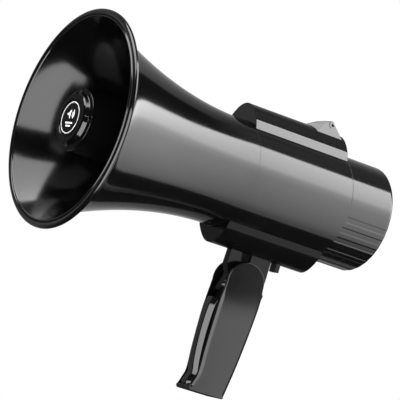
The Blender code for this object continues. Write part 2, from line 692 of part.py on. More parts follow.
def make_battery():
    """Two cylindrical cells in a tray, with a spring at the front and a plate at the rear of each."""
    wall = 1.2 * MM
    tray = box("battery_tray", (-TRAY_HALF, TRAY_START, TRAY_FLOOR), (TRAY_HALF, TRAY_END, TRAY_TOP), SATIN)
    low = (-TRAY_HALF + wall, TRAY_START + wall, TRAY_FLOOR + wall)
    high = (TRAY_HALF - wall, TRAY_END - wall, 10 * MM)
    cut(tray, box_mesh(low, high))
    for x in (-12 * MM, 12 * MM):
        foot = box_mesh((x - 1 * MM, 136 * MM, -32.6 * MM), (x + 1 * MM, 196 * MM, TRAY_FLOOR + 0.4 * MM))
        join(tray, foot)
    for side, name in ((-1, "left"), (1, "right")):
        x = side * CELL_X
        tip = CELL_START + CELL_LENGTH
        cell = [
            (0, CELL_START),
            (CELL_R, CELL_START),
            (CELL_R, tip - 1 * MM),
            (3 * MM, tip - 1 * MM),
            (3 * MM, tip),
            (0, tip),
        ]
        turned(f"cell_{name}", cell, CELL, SMALL_ROUND, "Y", (x, 0, CELL_Z))
        cone = [(3.6 * MM, 124.9 * MM), (4.4 * MM, 124.9 * MM), (2.4 * MM, 130.1 * MM), (1.6 * MM, 130.1 * MM)]
        turned(f"cell_spring_{name}", cone, STEEL, SMALL_ROUND, "Y", (x, 0, CELL_Z))
        low = (x - 6 * MM, tip + GAP, CELL_Z - 6 * MM)
        high = (x + 6 * MM, tip + GAP + 0.5 * MM, CELL_Z + 6 * MM)
        box(f"cell_plate_{name}", low, high, STEEL)


def make_board():
    """The amplifier board on top of the battery tray, and what stands on it."""
    box("amplifier_board", (-22 * MM, 138 * MM, TRAY_TOP + GAP), (22 * MM, 192 * MM, BOARD_TOP), BOARD)
    base = BOARD_TOP + GAP
    sink = box("heat_sink", (-17 * MM, 152 * MM, base), (-1 * MM, 172 * MM, base + 2.5 * MM), ALUMINIUM)
    for fin in range(5):
        x = (-17 + 3.6 * fin) * MM
        join(sink, box_mesh((x, 152 * MM, base + 2 * MM), (x + 1.6 * MM, 172 * MM, base + 11 * MM)))
    capacitors = (("capacitor_large", 5, 14, 9, 147), ("capacitor_small", 4, 10, 12, 162))
    for name, radius, height, x, y in capacitors:
        can = ring(0, radius * MM, base, base + height * MM)
        turned(name, can, SATIN, SMALL_ROUND, "Z", (x * MM, y * MM, 0))
    low, high = (4 * MM, 172 * MM, base), (19 * MM, 187 * MM, base + 11 * MM)
    box("output_choke", low, high, FERRITE)


# --- Rear end ------------------------------------------------------------------------------------

PANEL_START, PANEL_END, PANEL_R = 233.8 * MM, 236.4 * MM, 30.7 * MM
PANEL_SCREWS = (180, 0)
PANEL_SCREW_RING = 29 * MM
MIC_Z = 9 * MM
SOCKET_X, SOCKET_Z = 12.5 * MM, -13 * MM


FLUTE_COUNT, FLUTE_PITCH = 14, 12
FLUTE_HALF, FLUTE_DEPTH = 1.9 * MM, 0.35 * MM


def make_rear_cap():
    """The cap behind the tube, with grip flutes around its lower half and a ledge for the panel."""
    radius = TUBE_R - 0.1 * MM
    profile = [(radius, TUBE_END + GAP)]
    profile += [(radius - 3 * MM + a, LENGTH - 3 * MM + b) for a, b in arc((0, 0), 3 * MM, 0, 90, 4)]
    profile += [
        (31.3 * MM, LENGTH),
        (31 * MM, LENGTH - 0.4 * MM),
        (31 * MM, PANEL_START - GAP),
        (27.6 * MM, PANEL_START - GAP),
        (27.6 * MM, PANEL_START - 2.5 * MM),
        (35.2 * MM, PANEL_START - 6 * MM),
        (35.2 * MM, TUBE_END + 3 * MM),
        (33.3 * MM, TUBE_END + GAP),
        (33.3 * MM, TUBE_END - 6 * MM),
        (35.1 * MM, TUBE_END - 6 * MM),
        (35.1 * MM, TUBE_END + GAP),
    ]
    cap = turned("rear_cap", profile, BLACK)
    low = (-FLUTE_HALF, TUBE_END - 1 * MM, -radius - 1 * MM)
    high = (FLUTE_HALF, LENGTH - 4 * MM, -radius + FLUTE_DEPTH)
    flutes = []
    for step in range(FLUTE_COUNT):
        flute = box_mesh(low, high)
        turn = FLUTE_PITCH * (step - (FLUTE_COUNT - 1) / 2)
        flute.transform(Matrix.Rotation(math.radians(turn), 4, "Y"))
        flutes.append(flute)
    cut(cap, joined_mesh(flutes))
    for angle in PANEL_SCREWS:
        x, z = around(PANEL_SCREW_RING, angle)
        cut(cap, hole(1 * MM, PANEL_START - 2 * MM, PANEL_START + 1 * MM, "Y", (x, 0, z), TINY_ROUND))


def make_panel():
    """The end panel with the microphone, the volume knob and the charging socket."""
    panel = turned("rear_panel", ring(0, PANEL_R, PANEL_START, PANEL_END), SATIN)
    start, end = PANEL_START - 1 * MM, PANEL_END + 1 * MM
    cut(panel, hole(7 * MM, start, end, "Y", (0, 0, MIC_Z)))
    cut(panel, hole(3.3 * MM, start, end, "Y", (KNOB_X, 0, KNOB_Z)))
    cut(panel, hole(3.6 * MM, start, end, "Y", (SOCKET_X, 0, SOCKET_Z)))
    for number, angle in enumerate(PANEL_SCREWS, 1):
        x, z = around(PANEL_SCREW_RING, angle)
        cut(panel, hole(1 * MM, start, end, "Y", (x, 0, z), TINY_ROUND))
        place = (x, PANEL_END + 1.5 * MM, z)
        screw(f"panel_screw_{number}", 1.8 * MM, 1.2 * MM, 0.7 * MM, -3.2 * MM, "Y", place)


def make_microphone():
    boot = [(5 * MM, 229 * MM), (6.7 * MM, 229 * MM), (6.7 * MM, PANEL_END), (5 * MM, PANEL_END)]
    place = (0, 0, MIC_Z)
    turned("microphone_boot", boot, RUBBER, SMALL_ROUND, "Y", place)
    capsule = ring(0, 4.7 * MM, 229.4 * MM, PANEL_END)
    turned("microphone_capsule", capsule, ALUMINIUM, SMALL_ROUND, "Y", place)
    face = PANEL_END + GAP
    rim = [(0, face), (11.5 * MM, face), (11.5 * MM, face + 1 * MM)]
    rim += [(10.4 * MM, face + 2 * MM), (0, face + 2.6 * MM)]
    grille = turned("microphone_grille", rim, SATIN, DRIVER_ROUND, "Y", place)
    slots = []
    for step in range(5):
        x = (step - 2) * 2.6 * MM
        reach = math.sqrt((7.5 * MM) ** 2 - x**2)
        low = (x - 0.6 * MM, face - 1 * MM, MIC_Z - reach)
        slots.append(box_mesh(low, (x + 0.6 * MM, face + 4 * MM, MIC_Z + reach)))
    cut(grille, joined_mesh(slots))


def make_volume():
    """The volume knob on its shaft, and the potentiometer body that the shaft turns in."""
    place = (KNOB_X, 0, KNOB_Z)
    body = ring(3.3 * MM, 8 * MM, 222 * MM, PANEL_START - GAP)
    turned("volume_pot_body", body, SATIN, SMALL_ROUND, "Y", place)
    face = PANEL_END + GAP
    knob = [
        (3.3 * MM, face),
        (7.4 * MM, face),
        (7 * MM, LENGTH - 1 * MM),
        (6.4 * MM, LENGTH - 0.4 * MM),
        (0, LENGTH - 0.4 * MM),
        (0, LENGTH - 1.6 * MM),
        (3.3 * MM, LENGTH - 1.6 * MM),
    ]
    low = (KNOB_X - 0.5 * MM, LENGTH - 1 * MM, KNOB_Z + 2 * MM)
    pointer = box_mesh(low, (KNOB_X + 0.5 * MM, LENGTH + 1 * MM, KNOB_Z + 9 * MM))
    cut(turned("volume_knob", knob, RUBBER, SMALL_ROUND, "Y", place, VOLUME), pointer)
    shaft = ring(0, 3 * MM, 223 * MM, LENGTH - 1.9 * MM)
    turned("volume_shaft", shaft, ALUMINIUM, SMALL_ROUND, "Y", place, VOLUME)


def make_socket():
    profile = [
        (0, 222 * MM),
        (3.3 * MM, 222 * MM),
        (3.3 * MM, PANEL_END + 0.4 * MM),
        (2.6 * MM, PANEL_END + 0.4 * MM),
        (2.6 * MM, 227 * MM),
        (0.8 * MM, 227 * MM),
        (0.8 * MM, 235 * MM),
        (0, 235 * MM),
    ]
    turned("charging_socket", profile, SATIN, SMALL_ROUND, "Y", (SOCKET_X, 0, SOCKET_Z))


make_bell()
make_reflector()
make_nose()
make_throat()
make_driver()
make_tube()
make_saddle("saddle_top", TOP_DOME_R, TOP_DOME_Z, 1)
make_lug()
make_low_saddle()
make_bracket()
make_wire_sleeve()
make_mode_switch()
make_handle()
make_trigger()
make_talk_switch()
make_battery()
make_board()
make_rear_cap()
make_panel()
make_microphone()
make_volume()
make_socket()
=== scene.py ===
"""The finished look of a small handheld megaphone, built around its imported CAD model.

Shapes are modelled in millimetres in the horn's own frame: Y runs back from the mouth, Z up from the
horn's axis, X to the side. to_row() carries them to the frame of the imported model, in metres.
"""

import json
import math

import bmesh
import bpy
from mathutils import Matrix, Vector


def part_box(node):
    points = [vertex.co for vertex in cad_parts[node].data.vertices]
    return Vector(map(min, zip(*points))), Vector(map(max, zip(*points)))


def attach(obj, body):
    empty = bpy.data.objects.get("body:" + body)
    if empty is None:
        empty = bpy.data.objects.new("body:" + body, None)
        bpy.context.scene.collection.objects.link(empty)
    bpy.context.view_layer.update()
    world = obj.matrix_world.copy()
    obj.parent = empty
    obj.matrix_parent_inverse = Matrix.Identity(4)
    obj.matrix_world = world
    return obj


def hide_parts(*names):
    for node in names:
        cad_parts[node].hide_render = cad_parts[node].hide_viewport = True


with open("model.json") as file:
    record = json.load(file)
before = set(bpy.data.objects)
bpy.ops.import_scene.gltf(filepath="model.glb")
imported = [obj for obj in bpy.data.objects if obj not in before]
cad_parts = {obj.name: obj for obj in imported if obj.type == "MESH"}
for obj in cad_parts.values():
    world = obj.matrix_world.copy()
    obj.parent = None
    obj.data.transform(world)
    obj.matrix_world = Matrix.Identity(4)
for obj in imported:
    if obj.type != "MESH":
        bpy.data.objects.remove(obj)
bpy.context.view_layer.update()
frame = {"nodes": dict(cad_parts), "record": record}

MM = 0.001
BELL_LOW, BELL_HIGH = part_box("bell")
MOUTH_Y = BELL_LOW.y
AXIS_Z = (BELL_LOW.z + BELL_HIGH.z) / 2

# Driving dimensions in millimetres, as in the CAD model
LENGTH = (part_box("rear_cap")[1].y - MOUTH_Y) / MM
MOUTH_R = BELL_HIGH.x / MM
TUBE_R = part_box("main_tube")[1].x / MM
WALL = 2
BELL_END = 127.5
TUBE_END = 205.6
SEAM = 0.025
FLARE_LENGTH, FLARE_RISE, FLARE_POWER = 122, 30.6, 1.91
LIP_RISE, LIP_REACH = 5, 4
RIM_EASE, RIM_REACH = 4.6, 14
PIVOT_Y, PIVOT_Z = 158.7, -68
HEAD_R = 14.3
HANDLE_HALF = 11.5
TAPER_TOP_Z, TAPER_PER_MM = -80, 0.0026
HANDLE_FOOT = -AXIS_Z / MM

FINE, MEDIUM, COARSE = 192, 96, 48


# --- Mesh tools ---------------------------------------------------------------------------------


def to_row(shape):
    """Carries a shape from the horn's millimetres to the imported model's metres."""
    shape.transform(Matrix.Translation((0, MOUTH_Y, AXIS_Z)) @ Matrix.Scale(MM, 4))


def fillet(points, steps=5, closed=True):
    """Rounds an outline's corners. A point is (a, b), or (a, b, radius) where its corner is round."""
    made = []
    count = len(points)
    for i, point in enumerate(points):
        here = Vector(point[:2])
        radius = point[2] if len(point) > 2 else 0
        at_end = not closed and i in (0, count - 1)
        if radius == 0 or at_end:
            made.append(tuple(here))
            continue
        before = Vector(points[i - 1][:2]) - here
        after = Vector(points[(i + 1) % count][:2]) - here
        half = before.angle(after) / 2
        reach = min(radius / math.tan(half), before.length * 0.49, after.length * 0.49)
        start, end = here + before.normalized() * reach, here + after.normalized() * reach
        for step in range(steps + 1):
            t = step / steps
            made.append(tuple(start * (1 - t) ** 2 + here * 2 * t * (1 - t) + end * t**2))
    return made


def arc(centre, radius, first, last, steps):
    """Points on an arc, with angles in degrees from the outline's first axis."""
    points = []
    for step in range(steps + 1):
        angle = math.radians(first + (last - first) * step / steps)
        points.append((centre[0] + radius * math.cos(angle), centre[1] + radius * math.sin(angle)))
    return points


def value_at(points, place):
    """Reads a smooth line of (place, value) points, ordered by rising place."""
    if place <= points[0][0]:
        return points[0][1]
    for i in range(len(points) - 1):
        (a, va), (b, vb) = points[i], points[i + 1]
        if place <= b:
            before = points[max(i - 1, 0)]
            after = points[min(i + 2, len(points) - 1)]
            slope_a = (vb - before[1]) / (b - before[0])
            slope_b = (after[1] - va) / (after[0] - a)
            t, span = (place - a) / (b - a), b - a
            rise = va * (2 * t**3 - 3 * t**2 + 1) + vb * (3 * t**2 - 2 * t**3)
            return rise + span * (slope_a * (t**3 - 2 * t**2 + t) + slope_b * (t**3 - t**2))
    return points[-1][1]


def turned(profile, steps=FINE, closed=True, shape_of=None):
    """A turned shape about the Y axis. profile holds (radius, y) points. shape_of may change a radius."""
    shape = bmesh.new()
    rings = []
    for radius, y in profile:
        if radius < 1e-6:
            rings.append([shape.verts.new((0, y, 0))])
            continue
        ring = []
        for step in range(steps):
            angle = 2 * math.pi * step / steps
            r = shape_of(radius, y, angle) if shape_of else radius
            ring.append(shape.verts.new((r * math.cos(angle), y, r * math.sin(angle))))
        rings.append(ring)
    pairs = list(zip(rings, rings[1:]))
    if closed:
        pairs.append((rings[-1], rings[0]))
    for first, second in pairs:
        if len(first) == 1 and len(second) == 1:
            continue
        for step in range(steps):
            after = (step + 1) % steps
            corners = [first[step % len(first)], first[after % len(first)]]
            corners += [second[after % len(second)], second[step % len(second)]]
            shape.faces.new(list(dict.fromkeys(corners)))
    bmesh.ops.recalc_face_normals(shape, faces=shape.faces)
    return shape


def prism(outline, start, end, along="X"):
    """A flat outline pushed through from start to end. Along X it is (y, z), and along Y it is (x, z)."""
    shape = bmesh.new()
    if along == "X":
        push = (end - start, 0, 0)
        corners = [(start, a, b) for a, b in outline]
    else:
        push = (0, end - start, 0)
        corners = [(a, start, b) for a, b in outline]
    face = shape.faces.new([shape.verts.new(corner) for corner in corners])
    pushed = bmesh.ops.extrude_face_region(shape, geom=[face], use_keep_orig=True)
    moved = [item for item in pushed["geom"] if isinstance(item, bmesh.types.BMVert)]
    bmesh.ops.translate(shape, vec=push, verts=moved)
    bmesh.ops.recalc_face_normals(shape, faces=shape.faces)
    return shape


def lofted(sections):
    """A closed shape through sections that have the same number of points each."""
    shape = bmesh.new()
    rows = [[shape.verts.new(point) for point in section] for section in sections]
    for first, second in zip(rows, rows[1:]):
        for i in range(len(first)):
            j = (i + 1) % len(first)
            shape.faces.new((first[i], first[j], second[j], second[i]))
    shape.faces.new(rows[0])
    shape.faces.new(rows[-1])
    bmesh.ops.recalc_face_normals(shape, faces=shape.faces)
    return shape


def block(low, high):
    shape = bmesh.new()
    bmesh.ops.create_cube(shape, size=1)
    bmesh.ops.scale(shape, vec=[b - a for a, b in zip(low, high)], verts=shape.verts)
    bmesh.ops.translate(shape, vec=[(a + b) / 2 for a, b in zip(low, high)], verts=shape.verts)
    return shape


def rod(radius, start, end, along, place, steps=COARSE):
    """A round cutter from start to end along X or Y, about an axis through place."""
    shape = turned([(0, start), (radius, start), (radius, end), (0, end)], steps, closed=False)
    if along == "X":
        shape.transform(Matrix.Rotation(-math.pi / 2, 4, "Z"))
    shape.transform(Matrix.Translation(place))
    return shape


def merged(shapes):
    """Puts several shapes into one."""
    made = bmesh.new()
    for shape in shapes:
        mesh = bpy.data.meshes.new("group")
        shape.to_mesh(mesh)
        shape.free()
        made.from_mesh(mesh)
        bpy.data.meshes.remove(mesh)
    return made


def to_object(name, shape):
    """Makes an object of a shape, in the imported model's frame."""
    mesh = bpy.data.meshes.new(name)
    to_row(shape)
    shape.to_mesh(mesh)
    shape.free()
    obj = bpy.data.objects.new(name, mesh)
    bpy.context.scene.collection.objects.link(obj)
    return obj


def apply_modifiers(obj):
    graph = bpy.context.evaluated_depsgraph_get()
    made = bpy.data.meshes.new_from_object(obj.evaluated_get(graph))
    obj.modifiers.clear()
    obj.data = made


def cut(obj, shape):
    """Cuts a shape out of a piece."""
    other = to_object(obj.name + "_tool", shape)
    modifier = obj.modifiers.new("cut", "BOOLEAN")
    modifier.operation = "DIFFERENCE"
    modifier.solver = "EXACT"
    modifier.object = other
    apply_modifiers(obj)
    bpy.data.objects.remove(other)


def round_edges(obj, width, segments, angle):
    """Rounds the edges where faces turn by more than an angle in degrees."""
    modifier = obj.modifiers.new("round", "BEVEL")
    modifier.width = width * MM
    modifier.segments = segments
    modifier.limit_method = "ANGLE"
    modifier.angle_limit = math.radians(angle)
    modifier.use_clamp_overlap = True
    apply_modifiers(obj)


def second_look(obj, look, belongs):
    """Gives a second material to the faces that belongs(face) picks."""
    obj.data.materials.append(look)
    for face in obj.data.polygons:
        if belongs(face):
            face.material_index = 1


def finish_piece(obj, look, body, slot, *nodes, sharp=40):
    """Shades a piece, gives it its material and body, and lets it stand for its CAD nodes."""
    mesh = obj.data
    mesh.shade_smooth()
    mesh.set_sharp_from_angle(angle=math.radians(sharp))
    modifier = obj.modifiers.new("normals", "WEIGHTED_NORMAL")
    modifier.keep_sharp = True
    modifier.weight = 80
    mesh.materials.clear()
    mesh.materials.append(look)
    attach(obj, body)
    if nodes:
        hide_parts(*nodes)
    return obj


# --- Materials ----------------------------------------------------------------------------------


BROAD_SCALE, BROAD_DETAIL, FINE_DETAIL = 38, 4, 2
NOISE_LOW, NOISE_HIGH = 0.3, 0.7
GRAIN_HEIGHT = 0.0004


def surface(name, colour, roughness, grain, bump, metallic=0.0, spread=0.08, mottle=0.15, ior=1.5):
    """A Principled material whose colour and roughness wander a little, with a fine moulded grain."""
    made = bpy.data.materials.new(name)
    made.use_nodes = True
    nodes, links = made.node_tree.nodes, made.node_tree.links
    shader = nodes["Principled BSDF"]
    shader.inputs["Metallic"].default_value = metallic
    shader.inputs["IOR"].default_value = ior
    place = nodes.new("ShaderNodeTexCoord")
    broad = nodes.new("ShaderNodeTexNoise")
    broad.inputs["Scale"].default_value = BROAD_SCALE
    broad.inputs["Detail"].default_value = BROAD_DETAIL
    links.new(place.outputs["Object"], broad.inputs["Vector"])
    tint = nodes.new("ShaderNodeValToRGB")
    tint.color_ramp.elements[0].position = NOISE_LOW
    tint.color_ramp.elements[1].position = NOISE_HIGH
    tint.color_ramp.elements[0].color = (*[c * (1 - mottle) for c in colour], 1)
    tint.color_ramp.elements[1].color = (*[min(1, c * (1 + mottle)) for c in colour], 1)
    links.new(broad.outputs["Fac"], tint.inputs["Fac"])
    links.new(tint.outputs["Color"], shader.inputs["Base Color"])
    rough = nodes.new("ShaderNodeMapRange")
    rough.inputs["From Min"].default_value = NOISE_LOW
    rough.inputs["From Max"].default_value = NOISE_HIGH
    rough.inputs["To Min"].default_value = roughness * (1 - spread)
    rough.inputs["To Max"].default_value = roughness * (1 + spread)
    links.new(broad.outputs["Fac"], rough.inputs["Value"])
    links.new(rough.outputs["Result"], shader.inputs["Roughness"])
    fine = nodes.new("ShaderNodeTexNoise")
    fine.inputs["Scale"].default_value = grain
    fine.inputs["Detail"].default_value = FINE_DETAIL
    links.new(place.outputs["Object"], fine.inputs["Vector"])
    relief = nodes.new("ShaderNodeBump")
    relief.inputs["Strength"].default_value = bump
    relief.inputs["Distance"].default_value = GRAIN_HEIGHT
    links.new(fine.outputs["Fac"], relief.inputs["Height"])
    links.new(relief.outputs["Normal"], shader.inputs["Normal"])
    return made


# The second, darker black paints the shade inside the bell.
BLACK, PAINTED_SHADE_BLACK = (0.0011, 0.0011, 0.0012), (0.0008, 0.0008, 0.0009)
GLOSS = surface("gloss_black_plastic", BLACK, 0.11, 2600, 0.008)
# A darker, weakly reflecting copy of the gloss black: painted shade on the bell's inside.
SHADED_GLOSS_INSIDE = surface("gloss_black_inside_painted_shade", PAINTED_SHADE_BLACK, 0.14, 2600, 0.008, ior=1.41)
# A dimmer, weakly reflecting copy of the gloss black: painted shade on the pieces under the horn.
SHADED_GLOSS_BELOW = surface("gloss_black_painted_shade_below", BLACK, 0.15, 2600, 0.01, ior=1.21)
# A dimmer, weakly reflecting copy of the gloss black: painted shade on the handle's shells.
SHADED_GRIP_GLOSS = surface("gloss_black_grip_painted_shade", BLACK, 0.12, 2600, 0.01, ior=1.4)
SATIN = surface("satin_black_plastic", (0.016, 0.016, 0.0165), 0.34, 3200, 0.06)
# The badge's own near-black, with weak reflections that paint the shade deep in the bell. It also paints
# shade on the nose cap's front faces.
BADGE_AND_SHADE_BLACK = surface("badge_black", (0.0012, 0.0012, 0.0013), 0.3, 3000, 0.01, ior=1.18)
PRINT = surface("white_print", (0.8, 0.8, 0.8), 0.5, 4000, 0.03, mottle=0.04)
STEEL = surface("zinc_steel", (0.6, 0.6, 0.58), 0.34, 1500, 0.05, metallic=1, spread=0.2)
IRON = surface("plated_iron", (0.42, 0.42, 0.43), 0.42, 1200, 0.08, metallic=1, spread=0.25)
FERRITE = surface("ferrite", (0.045, 0.045, 0.05), 0.7, 1800, 0.25)
COPPER = surface("copper_wire", (0.7, 0.3, 0.13), 0.34, 2600, 0.2, metallic=1, spread=0.2)
FILM = surface("amber_film", (0.42, 0.2, 0.05), 0.3, 1500, 0.05)
RUBBER = surface("black_rubber", (0.022, 0.022, 0.022), 0.62, 3600, 0.2)
# Near-black and barely reflecting: painted shade in the tongue's slot, on the rubber sleeve there, and under
# the handle's foot.
SHADE_DULL_BLACK = surface("dull_black_painted_shade", (0.0012, 0.0012, 0.0012), 0.95, 3600, 0.2, ior=1.15)
NYLON = surface("white_nylon", (0.76, 0.76, 0.72), 0.5, 2000, 0.05, mottle=0.05)
BOARD = surface("green_board", (0.02, 0.17, 0.07), 0.42, 1400, 0.1, mottle=0.3)
CELL = surface("cell_sleeve", (0.09, 0.22, 0.5), 0.36, 1200, 0.03)
ALUMINIUM = surface("aluminium", (0.72, 0.72, 0.74), 0.36, 1800, 0.08, metallic=1, spread=0.25)

LOOK_OF_SLOT = {
    "black_plastic": GLOSS,
    "satin_plastic": SATIN,
    "badge_plastic": BADGE_AND_SHADE_BLACK,
    "steel": STEEL,
    "iron": IRON,
    "ferrite": FERRITE,
    "copper": COPPER,
    "film": FILM,
    "rubber": RUBBER,
    "nylon": NYLON,
    "board": BOARD,
    "cell": CELL,
    "aluminium": ALUMINIUM,
}


def dress_cad_nodes():
    """Gives every CAD node the procedural material of its slot."""
    for entry in frame["record"]["subparts"]:
        mesh = frame["nodes"][entry["node"]].data
        mesh.materials.clear()
        mesh.materials.append(LOOK_OF_SLOT[entry["material_slot"]])


# --- Horn ---------------------------------------------------------------------------------------


def flare(y):
    """The bell's outer radius at a distance behind the mouth."""
    body = FLARE_RISE * max(0, 1 - y / FLARE_LENGTH) ** FLARE_POWER
    return TUBE_R + body + LIP_RISE * math.exp(-y / LIP_REACH)


def bell_inside(y):
    """The bell's inner radius: the flare without its lip, eased out to meet the rim."""
    plain = TUBE_R + FLARE_RISE * max(0, 1 - y / FLARE_LENGTH) ** FLARE_POWER - WALL
    return plain + RIM_EASE * math.exp(-y / RIM_REACH)


def stations(start, end, count, power=1.0):
    return [start + (end - start) * (i / count) ** power for i in range(count + 1)]


LIP_DEPTH = 1.2


def faces_axis(face):
    """Whether one of the bell's faces looks in towards the horn's axis, behind the lip. These faces get
    painted shade.
    """
    outward = face.normal.x * face.center.x + face.normal.z * (face.center.z - AXIS_Z)
    return outward < 0 and face.center.y > MOUTH_Y + LIP_DEPTH * MM


LIP_END, BELL_THROAT = 3.6, 94


def make_bell():
    """The bell, with a thin inner edge and a rounded bead round its mouth, and a spigot for the tube. Its
    inside gets painted shade: a darker, weakly reflecting copy of the gloss black.
    """
    lip = fillet([(69.4, 0.9), (69.7, 0.3, 0.2), (70.3, 0.3, 0.2), (70.6, 0.9)], 4, False)
    lip += arc((72.9, 2.1), 2.1, 205, 360, 20) + [(MOUTH_R, 2.8), (flare(LIP_END), LIP_END - 0.1)]
    outer = [(flare(y), y) for y in stations(LIP_END, FLARE_LENGTH, 64, 1.3)]
    tail = [(TUBE_R, FLARE_LENGTH + 1), (TUBE_R, BELL_END - SEAM, 0.07), (35.2, BELL_END - SEAM)]
    tail = fillet(tail, 4, False)
    spigot = [(35.1, BELL_END + 6), (33.3, BELL_END + 6), (33.3, 105), (34.6, 97)]
    spigot += [(28, 97), (28, BELL_THROAT)]
    inner = [(bell_inside(y), y) for y in stations(BELL_THROAT, 0.7, 60, 0.75)]
    bell = to_object("bell_shell", turned(lip + outer + tail + spigot + inner))
    finish_piece(bell, GLOSS, "horn_unit", "black_plastic", "bell")
    # The inside faces take the painted shade.
    second_look(bell, SHADED_GLOSS_INSIDE, faces_axis)


REFLECTOR_START, REFLECTOR_END = 5.8, 62
REFLECTOR_NOSE_R, REFLECTOR_RISE, REFLECTOR_POWER = 20.6, 9.4, 1.3
REFLECTOR_WALL = 1.6
CLIP_COUNT = 4
CLIP_FOOT_X, CLIP_TIP_X, CLIP_HALF = 16.6, 19.4, 1.3
CLIP_BACK, CLIP_HEIGHT, CLIP_SLOPE = 5.2, 3.1, 0.45


def reflector_r(y):
    share = (y - REFLECTOR_START) / (REFLECTOR_END - REFLECTOR_START)
    return REFLECTOR_NOSE_R + REFLECTOR_RISE * share**REFLECTOR_POWER


def make_reflector():
    outer = [(reflector_r(y), y) for y in stations(REFLECTOR_START, REFLECTOR_END - 0.4, 30)]
    rim = [(reflector_r(REFLECTOR_END) - inset, REFLECTOR_END) for inset in (0.5, 1.2)]
    inner = [(reflector_r(y) - REFLECTOR_WALL, y) for y in stations(REFLECTOR_END - 0.5, 10, 20)]
    nose = [(12, 8.4), (0, 7.8)]
    front = [(0, REFLECTOR_START - 0.1), (REFLECTOR_NOSE_R - 0.3, REFLECTOR_START - 0.1)]
    shape = turned(front + outer + rim + inner + nose, closed=False)
    reflector = to_object("reflector_shell", shape)
    finish_piece(reflector, GLOSS, "horn_unit", "black_plastic", "reflector")


def clip_turn(number):
    """The turn about the horn's axis that carries a clip to its place."""
    return Matrix.Rotation(-math.pi / 2 * number, 4, "Y")


def make_clip():
    """One snap clip, whose front slopes back as it goes out."""
    outline = [(CLIP_FOOT_X, -CLIP_HALF, 0.4), (CLIP_TIP_X, -CLIP_HALF, 0.6)]
    outline += [(CLIP_TIP_X, CLIP_HALF, 0.6), (CLIP_FOOT_X, CLIP_HALF, 0.4)]
    clip = prism(fillet(outline, 3), CLIP_BACK, CLIP_BACK - CLIP_HEIGHT, "Y")
    for vertex in clip.verts:
        if vertex.co.y < CLIP_BACK - 1:
            vertex.co.y += (vertex.co.x - CLIP_FOOT_X) * CLIP_SLOPE
    return clip


def make_nose():
    """The cap on the reflector's nose, notched for four snap clips, with painted shade on its front faces.
    """
    profile = [(0, 2.3), (12.8, 2.3), (12.8, 0.8, 0.2), (13.3, 0.3, 0.3), (16.4, 0.4, 0.6), (17.3, 1.2, 0.5)]
    profile += [(18.3, 3.9, 0.8), (21.0, 4.4, 0.4), (21.3, 5.6), (0, 5.6)]
    cap = to_object("nose_cap_shell", turned(fillet(profile, 4, False), MEDIUM, closed=False))
    notches, clips = [], []
    for number in range(CLIP_COUNT):
        notch = block((16.3, -1, -1.9), (23, 4.9, 1.9))
        notch.transform(clip_turn(number))
        notches.append(notch)
        clip = make_clip()
        clip.transform(clip_turn(number))
        clips.append(clip)
    cut(cap, merged(notches))
    round_edges(cap, 0.18, 2, 50)
    finish_piece(cap, GLOSS, "horn_unit", "black_plastic", "nose_cap")
    # The cap's front faces take the badge's weakly reflecting near-black: painted shade.
    second_look(cap, BADGE_AND_SHADE_BLACK, lambda face: face.normal.y < -0.85)
    ring = to_object("nose_clips", merged(clips))
    round_edges(ring, 0.2, 2, 50)
    finish_piece(ring, GLOSS, "horn_unit", "black_plastic")


def printed(name, shapes):
    """Makes shapes into white print on the badge."""
    finish_piece(to_object(name, merged(shapes)), PRINT, "horn_unit", "badge_plastic")


BADGE_FACE = 0.5
PRINT_FACE, PRINT_BACK = BADGE_FACE - 0.06, 0.6
BADGE_RING_R, BADGE_RING_HALF = 10.6, 0.24


def make_badge():
    """The badge disc, with a plain ring and a generic loudspeaker sign over two bars."""
    profile = [(0, BADGE_FACE), (12.5, BADGE_FACE, 0.4), (12.5, 2), (0, 2)]
    disc = to_object("badge_disc", turned(fillet(profile, 4, False), MEDIUM, closed=False))
    finish_piece(disc, BADGE_AND_SHADE_BLACK, "horn_unit", "badge_plastic", "badge")
    outer, inner = BADGE_RING_R + BADGE_RING_HALF, BADGE_RING_R - BADGE_RING_HALF
    ring = [(inner, PRINT_FACE), (outer, PRINT_FACE), (outer, PRINT_BACK), (inner, PRINT_BACK)]
    printed("badge_ring", [turned(ring, MEDIUM)])
    cone = [(-4.6, 2.9), (-2.9, 2.9), (-0.4, 5.6), (-0.4, -0.8), (-2.9, 1.9), (-4.6, 1.9)]
    marks = [prism(cone, PRINT_FACE, PRINT_BACK, "Y")]
    wave_centre, wave_half = (-0.2, 2.4), 0.4
    for radius in (2.4, 4.2):
        band = arc(wave_centre, radius + wave_half, -42, 42, 10)
        band += arc(wave_centre, radius - wave_half, 42, -42, 10)
        marks.append(prism(band, PRINT_FACE, PRINT_BACK, "Y"))
    for half, z in ((4.6, -3.6), (3.0, -5.6)):
        low, high = z - 0.5, z + 0.5
        bar = fillet([(-half, low, 0.3), (half, low, 0.3), (half, high, 0.3), (-half, high, 0.3)], 3)
        marks.append(prism(bar, PRINT_FACE, PRINT_BACK, "Y"))
    printed("badge_mark", marks)


# --- Tube and saddles ---------------------------------------------------------------------------


def make_tube():
    start, end = BELL_END + SEAM, TUBE_END - SEAM
    profile = [(TUBE_R - WALL, start), (TUBE_R, start, 0.07), (TUBE_R, end, 0.2), (TUBE_R - WALL, end)]
    tube = to_object("tube_shell", turned(fillet(profile, 4)))
    finish_piece(tube, GLOSS, "horn_unit", "black_plastic", "main_tube")


DOME_STEPS = 24
SADDLE_INSET = 0.3
STRIP_FOOT = (19.66, 32.16)
TOP_SHOULDER, TOP_CROWN_X, TOP_Z = (17.27, 37.73), 9.3, 49.6
LOW_SHOULDER, LOW_CROWN_X, LOW_Z = (17.7, 37), 8.9, 48.3


